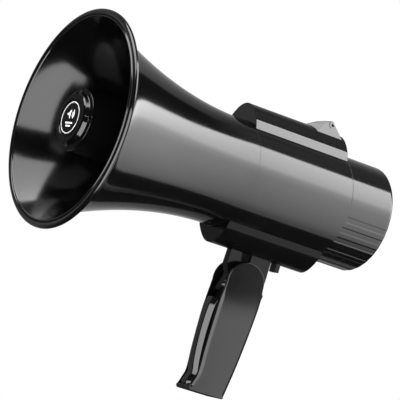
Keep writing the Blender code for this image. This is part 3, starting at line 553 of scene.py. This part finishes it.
def saddle_section(shoulder, crown_x, top_z, side):
    """A dome between two leaning strips, closed underneath by the tube's own round."""
    start, control, end = Vector(shoulder), Vector((crown_x, top_z)), Vector((0, top_z))
    half = []
    for step in range(DOME_STEPS + 1):
        t = step / DOME_STEPS
        half.append(tuple(start * (1 - t) ** 2 + control * 2 * t * (1 - t) + end * t**2))
    dome = half + [(-x, z) for x, z in reversed(half[:-1])]
    foot_angle = math.degrees(math.atan2(STRIP_FOOT[1], STRIP_FOOT[0]))
    seat = arc((0, 0), math.hypot(*STRIP_FOOT), 180 - foot_angle, foot_angle, 40)
    return [(x, side * z) for x, z in dome + seat]


def top_section():
    return saddle_section(TOP_SHOULDER, TOP_CROWN_X, TOP_Z, 1)


def low_section():
    return saddle_section(LOW_SHOULDER, LOW_CROWN_X, LOW_Z, -1)


def make_saddle(name, section, look, node):
    saddle = to_object(name, prism(section, BELL_END + SADDLE_INSET, TUBE_END - SADDLE_INSET, "Y"))
    round_edges(saddle, 0.16, 2, 60)
    finish_piece(saddle, look, "horn_unit", "black_plastic", node, sharp=12)


LUG_HOLE_Y, LUG_HOLE_Z, LUG_HOLE_R = 194.6, 53.9, 1.0
LUG_LEAN = math.radians(23)
LUG_TIP_Y, LUG_BASE_X, LUG_BASE_Z = 176.7, 10.5, 44
GROOVE_OUTER_R, GROOVE_INNER_R, GROOVE_MIDDLE_X, GROOVE_HALF = 3.1, 2.6, 9.3, 4


def lug_side(z):
    """How far out the lug's leaning side is at a height."""
    return LUG_BASE_X - (z - LUG_BASE_Z) * math.tan(LUG_LEAN)


def make_lug():
    """The wedge on the top saddle, with its cord hole and the arc before it."""
    shape = bmesh.new()
    for corner in ((0, LUG_TIP_Y, LUG_BASE_Z), (0, LUG_TIP_Y, TOP_Z)):
        shape.verts.new(corner)
    for side in (-1, 1):
        for y, z in ((180.2, LUG_BASE_Z), (204.5, LUG_BASE_Z), (188.9, 54.9), (194.8, 57)):
            shape.verts.new((side * lug_side(z), y, z))
    hull = bmesh.ops.convex_hull(shape, input=shape.verts)
    bmesh.ops.delete(shape, geom=list(set(hull["geom_interior"])), context="VERTS")
    bmesh.ops.dissolve_limit(shape, angle_limit=math.radians(2), verts=shape.verts, edges=shape.edges)
    lug = to_object("strap_lug_wedge", shape)
    round_edges(lug, 0.3, 3, 65)
    cut(lug, prism(top_section(), 160, 215, "Y"))
    cut(lug, rod(LUG_HOLE_R, -12, 12, "X", (0, LUG_HOLE_Y, LUG_HOLE_Z)))
    grooves = []
    for side in (-1, 1):
        band = arc((LUG_HOLE_Y, LUG_HOLE_Z), GROOVE_OUTER_R, 120, 235, 12)
        band += arc((LUG_HOLE_Y, LUG_HOLE_Z), GROOVE_INNER_R, 235, 120, 12)
        groove = prism(band, -GROOVE_HALF, GROOVE_HALF)
        groove.transform(Matrix.Translation((side * GROOVE_MIDDLE_X, 0, 0)))
        grooves.append(groove)
    cut(lug, merged(grooves))
    finish_piece(lug, GLOSS, "horn_unit", "black_plastic", "strap_lug", sharp=15)


TONGUE_HALF = 3
SLOT_FRONT, SLOT_REAR, SLOT_FOOT, SLOT_TOP = 154.8, 162, -55.5, -40
SLEEVE_TOP, SLEEVE_HALF = -47.6, 2.45
SLEEVE_RIB, SLEEVE_PITCH, SLEEVE_SPREAD = 0.25, 1.3, 0.1


def make_bracket():
    """The tongue under the bottom saddle, with a nose that fills the channel in the lever's head."""
    outline = [(145.6, -42), (144.7, -58.5, 1), (147.9, -65.2, 1.5), (145.9, -70.5, 2), (144.5, -75.2, 1)]
    outline.append((145.6, -77.3, 0.8))
    outline += arc((PIVOT_Y, PIVOT_Z), 8, 225, 315, 12)
    outline += [(170.2, -64.5, 0.5), (170.6, -63.6, 0.5), (177.9, -63.4, 0.6), (178.5, -42)]
    bracket = to_object("bracket_tongue", prism(fillet(outline, 4), -TONGUE_HALF, TONGUE_HALF))
    cut(bracket, prism(low_section(), 120, 215, "Y"))
    slot = [(SLOT_FRONT, SLOT_FOOT), (SLOT_REAR, SLOT_FOOT)]
    slot += [(SLOT_REAR + 0.6, SLOT_TOP), (SLOT_FRONT - 1.4, SLOT_TOP)]
    cut(bracket, prism(slot, -6, 6))
    round_edges(bracket, 0.3, 3, 50)
    # The bracket takes the dimmer gloss copy: painted shade.
    finish_piece(bracket, SHADED_GLOSS_BELOW, "horn_unit", "black_plastic", "handle_bracket")


def make_wire_sleeve():
    """The ribbed rubber sleeve in the tongue's slot, which the handle's wires pass through. Its near-black,
    dull look is painted shade in the slot.
    """
    start = (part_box("wire_sleeve")[0].z - AXIS_Z) / MM
    rows = []
    for z in stations(start, SLEEVE_TOP, 44):
        wave = 0.5 + 0.5 * math.cos((z - start) * 2 * math.pi / SLEEVE_PITCH)
        half = SLEEVE_HALF - SLEEVE_RIB * wave
        widening = (z - start) * SLEEVE_SPREAD
        front, rear = SLOT_FRONT + 0.2 - widening, SLOT_REAR - 0.2 + widening * 0.4
        outline = [(-half, front, 0.8), (half, front, 0.8), (half, rear, 0.8), (-half, rear, 0.8)]
        rows.append([(x, y, z) for x, y in fillet(outline, 4)])
    sleeve = to_object("wire_sleeve_boot", lofted(rows))
    finish_piece(sleeve, SHADE_DULL_BLACK, "horn_unit", "rubber", "wire_sleeve")


def make_mode_knob():
    """The slide switch's knob, with three grip grooves across its foot."""
    section = fillet([(182.5, -44.6), (182.5, -53.9, 0.5), (186, -53.9, 0.5), (186, -44.6)], 4)
    knob = to_object("mode_slider_knob", prism(section, -3.5, 3.5))
    grooves = []
    for y in (183.3, 184.25, 185.2):
        grooves.append(block((-4, y - 0.17, -54.5), (4, y + 0.17, -53.55)))
    cut(knob, merged(grooves))
    round_edges(knob, 0.15, 2, 50)
    # The knob takes the dimmer gloss copy: painted shade.
    finish_piece(knob, SHADED_GLOSS_BELOW, "mode_slider", "satin_plastic", "mode_knob")


# --- Handle -------------------------------------------------------------------------------------

# Lines of (z, y) down the handle, from foot to head
CHEEK_FRONT = [(-147.2, 139.4), (-145.4, 138.7), (-140, 140.6), (-134, 142.5), (-119, 142.2)]
CHEEK_FRONT += [(-105, 142.2), (-92, 142.4), (-82, 143), (-74, 144.2), (-68, 144.4)]
CHEEK_REAR = [(-147.2, 166.3), (-145, 167), (-124, 170.2), (-102, 172.6), (-84, 174), (-73, 174.3)]
LEVER_FRONT = [(-143.7, 138.9), (-142.4, 138.3), (-139, 139.5), (-135, 141), (-128, 139.9), (-119, 139)]
LEVER_FRONT += [(-106, 138.5), (-95, 138.8), (-88, 139.5), (-84, 140.6), (-80, 142), (-76, 143.4)]
LEVER_FRONT += [(-70, 145), (-65, 147.6), (-61, 149.8)]


TAPER_SOFT = 9


def width_share(z):
    """The handle's width at a height, as a share of its head's: whole at first, then a steady taper."""
    below = TAPER_TOP_Z - z
    if below <= TAPER_SOFT:
        below = max(0, below + TAPER_SOFT) ** 2 / (4 * TAPER_SOFT)
    return 1 - TAPER_PER_MM * below


def narrowed(shape, tops=(-62, -104), step=2):
    """Cuts a handle piece into rows below its head and narrows it towards the foot."""
    height = tops[0]
    while height > tops[1]:
        every = list(shape.verts) + list(shape.edges) + list(shape.faces)
        bmesh.ops.bisect_plane(shape, geom=every, plane_co=(0, 0, height), plane_no=(0, 0, 1))
        height -= step
    for vertex in shape.verts:
        if abs(vertex.co.x) > 1:
            vertex.co.x *= width_share(vertex.co.z)
    return shape


def cheek_outline():
    """A cheek's outline as (y, z): up the front, over the round head, down the rear and along the foot."""
    front = [(value_at(CHEEK_FRONT, z), z) for z in stations(-145.4, -72, 36)]
    head = arc((PIVOT_Y, PIVOT_Z), HEAD_R, 188, 12, 48)
    rear = [(173.1, -71.4), (174.3, -72.8)]
    rear += [(value_at(CHEEK_REAR, z), z) for z in stations(-75, -145, 30)]
    foot = fillet([rear[-1], (166.3, HANDLE_FOOT, 1), (139.6, HANDLE_FOOT, 1.4), front[0]], 4, False)
    return front[1:] + head + rear[:-1] + foot


FRONT_DEPTH_X, FRONT_DEPTH_Y = 2.1, 3.6
REAR_DEPTH_X, REAR_DEPTH_Y = 1.6, 2.1
BEVEL_TOP_Z, BEVEL_FULL_Z = -73, -84
REAR_TOP_Z, REAR_FULL_Z = -72.5, -74
BEVEL_STEPS = 24
BEVEL_TURN = math.radians(75)
EDGE_ROUND = 0.6


def eased(start, end, place):
    """A smooth share from 0 at start to 1 at end."""
    share = min(1, max(0, (place - start) / (end - start)))
    return share * share * (3 - 2 * share)


def inward(outline):
    """The direction into a closed outline at each of its points."""
    count = len(outline)
    ways = []
    for i in range(count):
        along = Vector(outline[(i + 1) % count]) - Vector(outline[i - 1])
        ways.append(Vector((along.y, -along.x)).normalized())
    area = sum(a[0] * b[1] - b[0] * a[1] for a, b in zip(outline, outline[1:] + outline[:1]))
    return [-way if area > 0 else way for way in ways]


HEAD_TILT, GRIP_TILT = math.tan(math.radians(2.8)), math.tan(math.radians(1.0))
TILT_TOP_Z, TILT_LOW_Z = -70, -97
TILT_FROM_Y = 172


def side_tilt(y, z):
    """How far the cheek's side leans in towards the front: more at the head than down the grip."""
    share = eased(TILT_TOP_Z, TILT_LOW_Z, z)
    return (TILT_FROM_Y - y) * (HEAD_TILT + (GRIP_TILT - HEAD_TILT) * share)


def cheek_ring(outline, ways, step):
    """One ring of a cheek's edge, as (x, y, z): a broad round in front and a flat bevel behind."""
    part = step / BEVEL_STEPS
    turn = BEVEL_TURN * part
    ring = []
    for (y, z), way in zip(outline, ways):
        above_foot = 1 if z > HANDLE_FOOT + 2 else 0
        front = eased(BEVEL_TOP_Z, BEVEL_FULL_Z, z) * max(0, way.x) * above_foot
        rear = eased(REAR_TOP_Z, REAR_FULL_Z, z) * max(0, -way.x) * above_foot
        small = 1 - front - rear
        back_off = front * FRONT_DEPTH_X * (1 - math.sin(turn) / math.sin(BEVEL_TURN))
        back_off += rear * REAR_DEPTH_X * (1 - part)
        back_off += small * EDGE_ROUND * (1 - math.sin(math.pi / 2 * part))
        inset = front * FRONT_DEPTH_Y * (1 - math.cos(turn))
        inset += rear * REAR_DEPTH_Y * part
        inset += small * EDGE_ROUND * (1 - math.cos(math.pi / 2 * part))
        ring.append((HANDLE_HALF - back_off, y + way.x * inset, z + way.y * inset))
    return ring


def cheek_shape(side):
    """A shell's outer form: flat sides, a broad round along its front and a narrow bevel behind."""
    outline = cheek_outline()
    ways = inward(outline)
    rings = [[(0.15, a, b) for a, b in outline]]
    for step in range(BEVEL_STEPS + 1):
        rings.append(cheek_ring(outline, ways, step))
    shape = narrowed(lofted([[(side * x, y, z) for x, y, z in ring] for ring in rings]))
    for vertex in shape.verts:
        if abs(vertex.co.x) > 5:
            vertex.co.x -= side * side_tilt(vertex.co.y, vertex.co.z)
    return shape


def hollow_shape(side):
    """The space inside a shell: open at the front and over the head, closed at the rear and the foot."""
    outline = [(130, -50), (180, -50), (180, -64.6), (171, -64.6), (171, -84), (169.7, -102)]
    outline += [(167.5, -124), (164.6, -144), (148.6, -144), (130, -144)]
    return narrowed(prism(outline, side * -1, side * 8.5), tops=(-80, -81))


HANDLE_SCREWS = ((164.5, -92), (161.5, -118), (158, -138))
SCREW_HEAD_R, SCREW_HOLE_R = 2.6, 1.3


def faces_down(face):
    return face.normal.z < -0.9


def make_shells():
    """The handle's two shells, with wells for the screws in the left one. They take a dimmer copy of the
    gloss black, which paints shade, and the downward faces of both feet get painted shade, near-black and
    dull.
    """
    right = to_object("right_shell", cheek_shape(1))
    cut(right, hollow_shape(1))
    finish_piece(right, SHADED_GRIP_GLOSS, "handle", "black_plastic", "handle_right_shell", sharp=7)
    # The downward faces get painted shade, near-black and dull.
    second_look(right, SHADE_DULL_BLACK, faces_down)
    left = to_object("left_shell", cheek_shape(-1))
    cut(left, hollow_shape(-1))
    wells = []
    for y, z in HANDLE_SCREWS:
        wells.append(rod(SCREW_HEAD_R, -14, -5.6, "X", (0, y, z)))
        wells.append(rod(SCREW_HOLE_R, -6, 1, "X", (0, y, z)))
    cut(left, merged(wells))
    finish_piece(left, SHADED_GRIP_GLOSS, "handle", "black_plastic", "handle_left_shell", sharp=7)
    second_look(left, SHADE_DULL_BLACK, faces_down)


LEVER_FLAT, LEVER_HALF = 2.9, 5.9
CHAMFER_BACK = 3.3
LEVER_REAR = 148.2
CHANNEL_LEFT, CHANNEL_RIGHT, CHANNEL_FOOT = -3.4, 3.5, -82.5


def lever_section(z):
    """A slice of the lever: a narrow flat front, two steep rounded flanks and straight sides."""
    front = value_at(LEVER_FRONT, z)
    rear = max(LEVER_REAR, front + 2.2)
    flat, half = LEVER_FLAT, LEVER_HALF * width_share(z)
    back = min(CHAMFER_BACK, rear - front - 0.8)
    corners = [
        (-half, rear, 0.3),
        (-half, front + back, 1.2),
        (-flat, front, 1.3),
        (flat, front, 1.3),
        (half, front + back, 1.2),
        (half, rear, 0.3),
    ]
    return [(x, y, z) for x, y in fillet(corners, 4)]


def make_lever():
    """The trigger lever, with a channel in its head that the bracket's tongue passes through."""
    heights = stations(-143.6, -138, 10) + stations(-137, -62, 60) + [-61.5, -61.1]
    lever = to_object("trigger_lever_body", lofted([lever_section(z) for z in heights]))
    cut(lever, block((CHANNEL_LEFT, 130, CHANNEL_FOOT), (CHANNEL_RIGHT, 156, -50)))
    finish_piece(lever, GLOSS, "trigger_lever", "black_plastic", "trigger", sharp=35)


# --- Rear end -----------------------------------------------------------------------------------

FLUTE_COUNT, FLUTE_PITCH, FLUTE_WIDTH, FLUTE_DEPTH, FLUTE_EDGE = 14, 12, 6, 0.3, 0.9
CAP_ROUND, CAP_STEPS = 3, 720


def flute_depth(radius, y, angle):
    """The cap's radius with its grip flutes, which run round the lower half."""
    in_round = y > LENGTH - CAP_ROUND
    if y < TUBE_END or (radius < TUBE_R - 0.5 and not in_round):
        return radius
    degrees = (math.degrees(angle) + 90) % 360
    degrees = min(degrees, 360 - degrees)
    if degrees > FLUTE_PITCH * FLUTE_COUNT / 2:
        return radius
    off_centre = abs(degrees % FLUTE_PITCH - FLUTE_PITCH / 2)
    across = min(1, max(0, (FLUTE_WIDTH / 2 - off_centre) / FLUTE_EDGE + 0.5))
    along = (LENGTH - y) / CAP_ROUND if in_round else 1
    return radius - FLUTE_DEPTH * across * along


def make_rear_cap():
    """The cap behind the tube, with shallow grip flutes, a rounded rim and a recess for the panel."""
    radius = TUBE_R - 0.1
    side = [(33.4, TUBE_END + SEAM), (radius, TUBE_END + SEAM, 0.25), (radius, TUBE_END + 2)]
    side = fillet(side, 4, False)
    side += [(radius, y) for y in stations(TUBE_END + 4, LENGTH - 7, 12)]
    side += [(radius, y) for y in stations(LENGTH - 6, LENGTH - 3.2, 6)]
    side += arc((radius - CAP_ROUND, LENGTH - CAP_ROUND), CAP_ROUND, 0, 90, 10)
    rim = [(radius - CAP_ROUND - 0.2, LENGTH), (31.2, LENGTH, 0.4), (31, 233.5), (27.6, 233.5)]
    rim = fillet(rim + [(27.6, 231.3)], 4, False)
    inner = [(35.2, 228), (35.2, 209), (33.3, TUBE_END + 1), (33.3, TUBE_END - 5), (33.2, TUBE_END)]
    cap = to_object("rear_cap_shell", turned(side + rim + inner, CAP_STEPS, True, flute_depth))
    finish_piece(cap, GLOSS, "horn_unit", "black_plastic", "rear_cap")


PANEL_START, PANEL_END, PANEL_R = 233.8, 236.4, 30.7
MIC_Z = 9
KNOB_X, KNOB_Z = -12.5, -12.5
SOCKET_X, SOCKET_Z = 12.5, -13


# Holes through the panel, as (radius, x, z): the microphone, the knob's shaft, the socket and two screws
PANEL_HOLES = [(7, 0, MIC_Z), (3.3, KNOB_X, KNOB_Z), (3.6, SOCKET_X, SOCKET_Z), (1, -29, 0), (1, 29, 0)]
GROOVE_R, GROOVE_WIDTH, GROOVE_DEPTH = 27.2, 0.4, 0.4


def make_panel():
    """The end panel, with its holes and a fine groove round its edge."""
    profile = [(0, PANEL_END), (PANEL_R, PANEL_END, 0.5), (PANEL_R, PANEL_START), (0, PANEL_START)]
    panel = to_object("rear_panel_plate", turned(fillet(profile, 4, False), FINE, closed=False))
    holes = []
    for radius, x, z in PANEL_HOLES:
        holes.append(rod(radius, PANEL_START - 1, PANEL_END + 1, "Y", (x, 0, z)))
    cut(panel, merged(holes))
    inner, outer, foot = GROOVE_R, GROOVE_R + GROOVE_WIDTH, PANEL_END - GROOVE_DEPTH
    cut(panel, turned([(inner, foot), (outer, foot), (outer, LENGTH), (inner, LENGTH)], FINE))
    finish_piece(panel, SATIN, "horn_unit", "satin_plastic", "rear_panel")


PANEL_GAP = 0.3
PORE_R, PORE_PITCH, PORE_FIELD_R = 0.55, 1.75, 7.4


def make_grille():
    """The microphone's round grille, pierced by rows of small holes."""
    face = PANEL_END + PANEL_GAP
    profile = [(0, face + 1.9), (8.7, face + 1.9, 0.6), (10, face + 2.6, 0.6), (11.4, face + 1.2, 0.5)]
    profile += [(11.5, face), (0, face)]
    grille = to_object("microphone_grille_disc", turned(fillet(profile, 4, False), MEDIUM, closed=False))
    pores = []
    for row in range(-4, 5):
        for column in range(-5, 6):
            x = (column + (row % 2) / 2) * PORE_PITCH
            z = row * PORE_PITCH * math.sqrt(3) / 2
            if math.hypot(x, z) < PORE_FIELD_R:
                pores.append(rod(PORE_R, face - 1, face + 4, "Y", (x, 0, z), 12))
    cut(grille, merged(pores))
    grille.data.transform(Matrix.Translation((0, 0, MIC_Z * MM)))
    finish_piece(grille, SATIN, "horn_unit", "satin_plastic", "microphone_grille")


KNOB_RIBS, KNOB_RIB_DEPTH, KNOB_RIB_FROM_R = 30, 0.22, 6.9


def ribbed(radius, y, angle):
    """The knob's radius with the ribs round its edge."""
    if radius <= KNOB_RIB_FROM_R:
        return radius
    return radius - KNOB_RIB_DEPTH * (0.5 + 0.5 * math.cos(angle * KNOB_RIBS))


def make_volume_knob():
    """The volume knob: ribbed round its edge, with a pointer line let into its face."""
    face, top = PANEL_END + PANEL_GAP, LENGTH - 0.4
    profile = [(3.3, face), (7.3, face, 0.3), (7, top, 0.7), (0, top), (0, top - 1.2), (3.3, top - 1.2)]
    knob = to_object("volume_knob_cap", turned(fillet(profile, 4, False), 240, False, ribbed))
    cut(knob, block((-0.4, top - 0.5, 1.8), (0.4, top + 1, 8)))
    knob.data.transform(Matrix.Translation((KNOB_X * MM, 0, KNOB_Z * MM)))
    finish_piece(knob, RUBBER, "volume_control", "rubber", "volume_knob")


# --- Camera, light and floor --------------------------------------------------------------------


def toward(azimuth, elevation, distance):
    """A place seen from the object in a direction. Azimuth 0 is in front of the mouth, 90 on +X."""
    a, e = math.radians(azimuth), math.radians(elevation)
    return Vector((math.sin(a) * math.cos(e), -math.cos(a) * math.cos(e), math.sin(e))) * distance


CAMERA_LENS = 281.7
CAMERA_PLACE = (1.78844, -1.08148, -0.07453)
CAMERA_AZIMUTH, CAMERA_ELEVATION, CAMERA_ROLL = 59.03, -5.43, 15.75


def make_camera():
    """A long lens to the right of the mouth and a little below it, rolled to one side."""
    camera = bpy.data.objects.new("camera", bpy.data.cameras.new("camera"))
    bpy.context.scene.collection.objects.link(camera)
    camera.data.lens = CAMERA_LENS
    camera.data.clip_end = 60
    azimuth, roll = math.radians(CAMERA_AZIMUTH), math.radians(CAMERA_ROLL)
    back = toward(CAMERA_AZIMUTH, CAMERA_ELEVATION, 1)
    level = Vector((math.cos(azimuth), math.sin(azimuth), 0))
    upright = back.cross(level)
    right = math.cos(roll) * level + math.sin(roll) * upright
    up = -math.sin(roll) * level + math.cos(roll) * upright
    turn = Matrix((right, up, back)).transposed()
    camera.matrix_world = Matrix.Translation(CAMERA_PLACE) @ turn.to_4x4()
    bpy.context.scene.camera = camera


LIGHT_GAIN = 10


def glow(name, stops, span, axis="Z"):
    """Light whose strength follows the place along one axis. stops are (place, strength) pairs."""
    made = bpy.data.materials.new(name)
    made.use_nodes = True
    nodes, links = made.node_tree.nodes, made.node_tree.links
    nodes.clear()
    place = nodes.new("ShaderNodeTexCoord")
    split = nodes.new("ShaderNodeSeparateXYZ")
    links.new(place.outputs["Object"], split.inputs["Vector"])
    share = nodes.new("ShaderNodeMapRange")
    share.inputs["From Min"].default_value, share.inputs["From Max"].default_value = span
    links.new(split.outputs[axis], share.inputs["Value"])
    ramp = nodes.new("ShaderNodeValToRGB")
    links.new(share.outputs["Result"], ramp.inputs["Fac"])
    elements = ramp.color_ramp.elements
    low, high = span
    for i, (where, strength) in enumerate(stops):
        element = elements[i] if i < 2 else elements.new(1)
        element.position = (where - low) / (high - low)
        element.color = (strength / LIGHT_GAIN, strength / LIGHT_GAIN, strength / LIGHT_GAIN, 1)
    shader = nodes.new("ShaderNodeEmission")
    shader.inputs["Strength"].default_value = LIGHT_GAIN
    links.new(ramp.outputs["Color"], shader.inputs["Color"])
    output = nodes.new("ShaderNodeOutputMaterial")
    links.new(shader.outputs["Emission"], output.inputs["Surface"])
    return made


def light_mesh(name, points, faces, look):
    """Makes a glowing surface that the camera doesn't see."""
    mesh = bpy.data.meshes.new(name)
    mesh.from_pydata(points, [], faces)
    mesh.materials.append(look)
    obj = bpy.data.objects.new(name, mesh)
    bpy.context.scene.collection.objects.link(obj)
    obj.visible_camera = False
    obj.visible_shadow = False


def panel_of_light(name, corners, look):
    light_mesh(name, corners, [tuple(range(len(corners)))], look)


CENTRE = Vector((0, 0, AXIS_Z))
KEY_DISTANCE, KEY_AZIMUTH = 3.6, 112
# The key wall's outline, as (distance along the wall, height), in shares of its distance
KEY_TOP = [(0.12, 2.2), (0.9, 1.95), (1.36, 1.29), (1.77, 1.16), (2.43, 1.09), (2.7, 1.08)]
KEY_FOOT = [(2.7, -0.96), (2.55, -0.97), (1.82, -1.07), (1.43, -1.28), (0.78, -1.72), (0.12, -1.9)]
# Its strength up the wall, as (height, strength), with the height in the same shares
KEY_LEVELS = [(-1.9, 0.9), (-1.3, 1.1), (-0.9, 2.0), (-0.4, 2.9), (0, 3.8), (0.2, 4.1), (0.42, 5.5)]
KEY_LEVELS += [(0.55, 8.2), (0.85, 9.0), (2.2, 9.0)]
KEY_FAR_LOSS = 0.3


def fade_far_foot(look, start, end, loss):
    """Dims the key wall's lower half by a share, which grows from start to end along Y."""
    nodes, links = look.node_tree.nodes, look.node_tree.links
    split = nodes["Separate XYZ"]
    back, low = nodes.new("ShaderNodeMapRange"), nodes.new("ShaderNodeMapRange")
    back.inputs["From Min"].default_value, back.inputs["From Max"].default_value = start, end
    links.new(split.outputs["Y"], back.inputs["Value"])
    low.inputs["From Min"].default_value = AXIS_Z + 0.5 * KEY_DISTANCE
    low.inputs["From Max"].default_value = AXIS_Z + 0.1 * KEY_DISTANCE
    links.new(split.outputs["Z"], low.inputs["Value"])
    both, kept = nodes.new("ShaderNodeMath"), nodes.new("ShaderNodeMath")
    both.operation = "MULTIPLY"
    links.new(back.outputs["Result"], both.inputs[0])
    links.new(low.outputs["Result"], both.inputs[1])
    kept.operation = "MULTIPLY_ADD"
    kept.inputs[1].default_value = -loss * LIGHT_GAIN
    kept.inputs[2].default_value = LIGHT_GAIN
    links.new(both.outputs["Value"], kept.inputs[0])
    links.new(kept.outputs["Value"], nodes["Emission"].inputs["Strength"])


def make_key_wall():
    """A long upright softbox beside the megaphone, brightest at its top."""
    middle = toward(KEY_AZIMUTH, 0, KEY_DISTANCE)
    along = toward(KEY_AZIMUTH + 90, 0, KEY_DISTANCE)
    corners = []
    for offset, height in KEY_TOP + KEY_FOOT:
        corners.append(CENTRE + middle + along * offset + Vector((0, 0, height * KEY_DISTANCE)))
    stops = [(share * KEY_DISTANCE + AXIS_Z, strength) for share, strength in KEY_LEVELS]
    look = glow("key_light", stops, (stops[0][0], stops[-1][0]))
    fade_far_foot(look, corners[1].y, corners[3].y, KEY_FAR_LOSS)
    panel_of_light("key_wall", corners, look)


FRONT_DISTANCE = 3.4
FRONT_CORNERS = ((33, -58), (106, -58), (106, 15), (33, 15))
FRONT_LEVELS = [(-4, 6.5), (-0.2, 6.5), (0.95, 3.6)]


def make_front_box():
    """A low softbox beside the mouth, which weakens towards the back."""
    corners = []
    for azimuth, elevation in FRONT_CORNERS:
        corners.append(CENTRE + toward(azimuth, elevation, FRONT_DISTANCE))
    span = (FRONT_LEVELS[0][0], FRONT_LEVELS[-1][0])
    panel_of_light("front_box", corners, glow("front_light", FRONT_LEVELS, span, "Y"))


CEILING_HEIGHT = 3.0
CEILING_CORNERS = ((-0.47, -1.1), (0.6, -1.1), (0.6, -0.1), (-0.47, -0.1))


def make_ceiling():
    """A softbox overhead, in front of the mouth. Its corners are in shares of its height."""
    corners = []
    for x, y in CEILING_CORNERS:
        corners.append(CENTRE + Vector((x, y, 1)) * CEILING_HEIGHT)
    panel_of_light("ceiling_box", corners, glow("ceiling_light", [(-9, 7), (9, 7)], (-9, 9)))


GLOW_COLUMNS = 5


def curved_glow(name, rows, distance, stops):
    """A curved panel of dim light. rows hold (elevation, first azimuth, last azimuth)."""
    points, faces = [], []
    for elevation, first, last in rows:
        for azimuth in stations(first, last, GLOW_COLUMNS):
            points.append(CENTRE + toward(azimuth, elevation, distance))
    for i in range(len(rows) - 1):
        for j in range(GLOW_COLUMNS):
            a = i * (GLOW_COLUMNS + 1) + j
            b = a + GLOW_COLUMNS + 1
            faces.append((a, a + 1, b + 1, b))
    light_mesh(name, points, faces, glow(name + "_light", stops, (stops[0][0], stops[-1][0])))


BACKDROP_DISTANCE, SIDE_DISTANCE = 3.6, 3.5
BACKDROP_ROWS = [(-50, -141, -104), (-25, -142, -104), (-5, -145, -104), (15, -150, -104)]
BACKDROP_ROWS += [(38, -160, -104), (48, -162, -104), (60, -162, -104)]
BACKDROP_LEVELS = [(-2.9, 0.12), (-2.5, 0.2), (-1.35, 0.29), (-1, 0.42), (0, 0.65), (1.2, 0.5)]
BACKDROP_LEVELS += [(2.4, 0.3), (3.3, 0.1)]
SIDE_ROWS = [(elevation, -103, -36) for elevation in (-38, -15, 10, 32, 50)]
SIDE_LEVELS = [(-2.2, 0.12), (-1, 0.3), (0.8, 0.36), (2.7, 0.25)]


def make_glows():
    """Dim light behind and beside the megaphone, which surfaces turned away from the view pick up."""
    curved_glow("backdrop_glow", BACKDROP_ROWS, BACKDROP_DISTANCE, BACKDROP_LEVELS)
    curved_glow("side_glow", SIDE_ROWS, SIDE_DISTANCE, SIDE_LEVELS)


WORLD_DIM, WORLD_OVERHEAD = 0.02, 0.38
OVERHEAD_START, OVERHEAD_FULL = 0.72, 0.92


def make_world():
    """White where the camera looks past the megaphone. It lights a little, and more from overhead."""
    world = bpy.data.worlds.new("studio")
    bpy.context.scene.world = world
    world.use_nodes = True
    nodes, links = world.node_tree.nodes, world.node_tree.links
    dim = nodes["Background"]
    dim.inputs["Color"].default_value = (1, 1, 1, 1)
    place = nodes.new("ShaderNodeTexCoord")
    split = nodes.new("ShaderNodeSeparateXYZ")
    overhead = nodes.new("ShaderNodeMapRange")
    overhead.inputs["From Min"].default_value = OVERHEAD_START
    overhead.inputs["From Max"].default_value = OVERHEAD_FULL
    overhead.inputs["To Min"].default_value = WORLD_DIM
    overhead.inputs["To Max"].default_value = WORLD_OVERHEAD
    links.new(place.outputs["Generated"], split.inputs["Vector"])
    links.new(split.outputs["Z"], overhead.inputs["Value"])
    links.new(overhead.outputs["Result"], dim.inputs["Strength"])
    white = nodes.new("ShaderNodeBackground")
    white.inputs["Color"].default_value = (1, 1, 1, 1)
    white.inputs["Strength"].default_value = 1
    path = nodes.new("ShaderNodeLightPath")
    mix = nodes.new("ShaderNodeMixShader")
    links.new(path.outputs["Is Camera Ray"], mix.inputs["Fac"])
    links.new(dim.outputs["Background"], mix.inputs[1])
    links.new(white.outputs["Background"], mix.inputs[2])
    links.new(mix.outputs["Shader"], nodes["World Output"].inputs["Surface"])


FLOOR_HALF, FLOOR_Z = 3, -0.0004


def make_floor():
    """A pale floor just under the handle's foot, seen only from above."""
    mesh = bpy.data.meshes.new("floor")
    corners = [(-FLOOR_HALF, -FLOOR_HALF, FLOOR_Z), (FLOOR_HALF, -FLOOR_HALF, FLOOR_Z)]
    corners += [(FLOOR_HALF, FLOOR_HALF, FLOOR_Z), (-FLOOR_HALF, FLOOR_HALF, FLOOR_Z)]
    mesh.from_pydata(corners, [], [(0, 1, 2, 3)])
    look = surface("pale_floor", (0.86, 0.86, 0.86), 0.7, 60, 0.01, mottle=0.01)
    nodes, links = look.node_tree.nodes, look.node_tree.links
    geometry = nodes.new("ShaderNodeNewGeometry")
    clear = nodes.new("ShaderNodeBsdfTransparent")
    mix = nodes.new("ShaderNodeMixShader")
    links.new(geometry.outputs["Backfacing"], mix.inputs["Fac"])
    links.new(nodes["Principled BSDF"].outputs["BSDF"], mix.inputs[1])
    links.new(clear.outputs["BSDF"], mix.inputs[2])
    links.new(mix.outputs["Shader"], nodes["Material Output"].inputs["Surface"])
    mesh.materials.append(look)
    obj = bpy.data.objects.new("floor", mesh)
    bpy.context.scene.collection.objects.link(obj)
    obj.visible_glossy = False
    obj.visible_shadow = False


dress_cad_nodes()
make_bell()
make_reflector()
make_nose()
make_badge()
make_tube()
make_saddle("saddle_top_cover", top_section(), GLOSS, "saddle_top")
# The bottom saddle takes the dimmer gloss copy: painted shade.
make_saddle("saddle_bottom_cover", low_section(), SHADED_GLOSS_BELOW, "saddle_bottom")
make_lug()
make_bracket()
make_wire_sleeve()
make_mode_knob()
make_shells()
make_lever()
make_rear_cap()
make_panel()
make_grille()
make_volume_knob()
make_camera()
make_key_wall()
make_front_box()
make_ceiling()
make_glows()
make_world()
make_floor()
bpy.context.scene.view_settings.view_transform = "Standard"
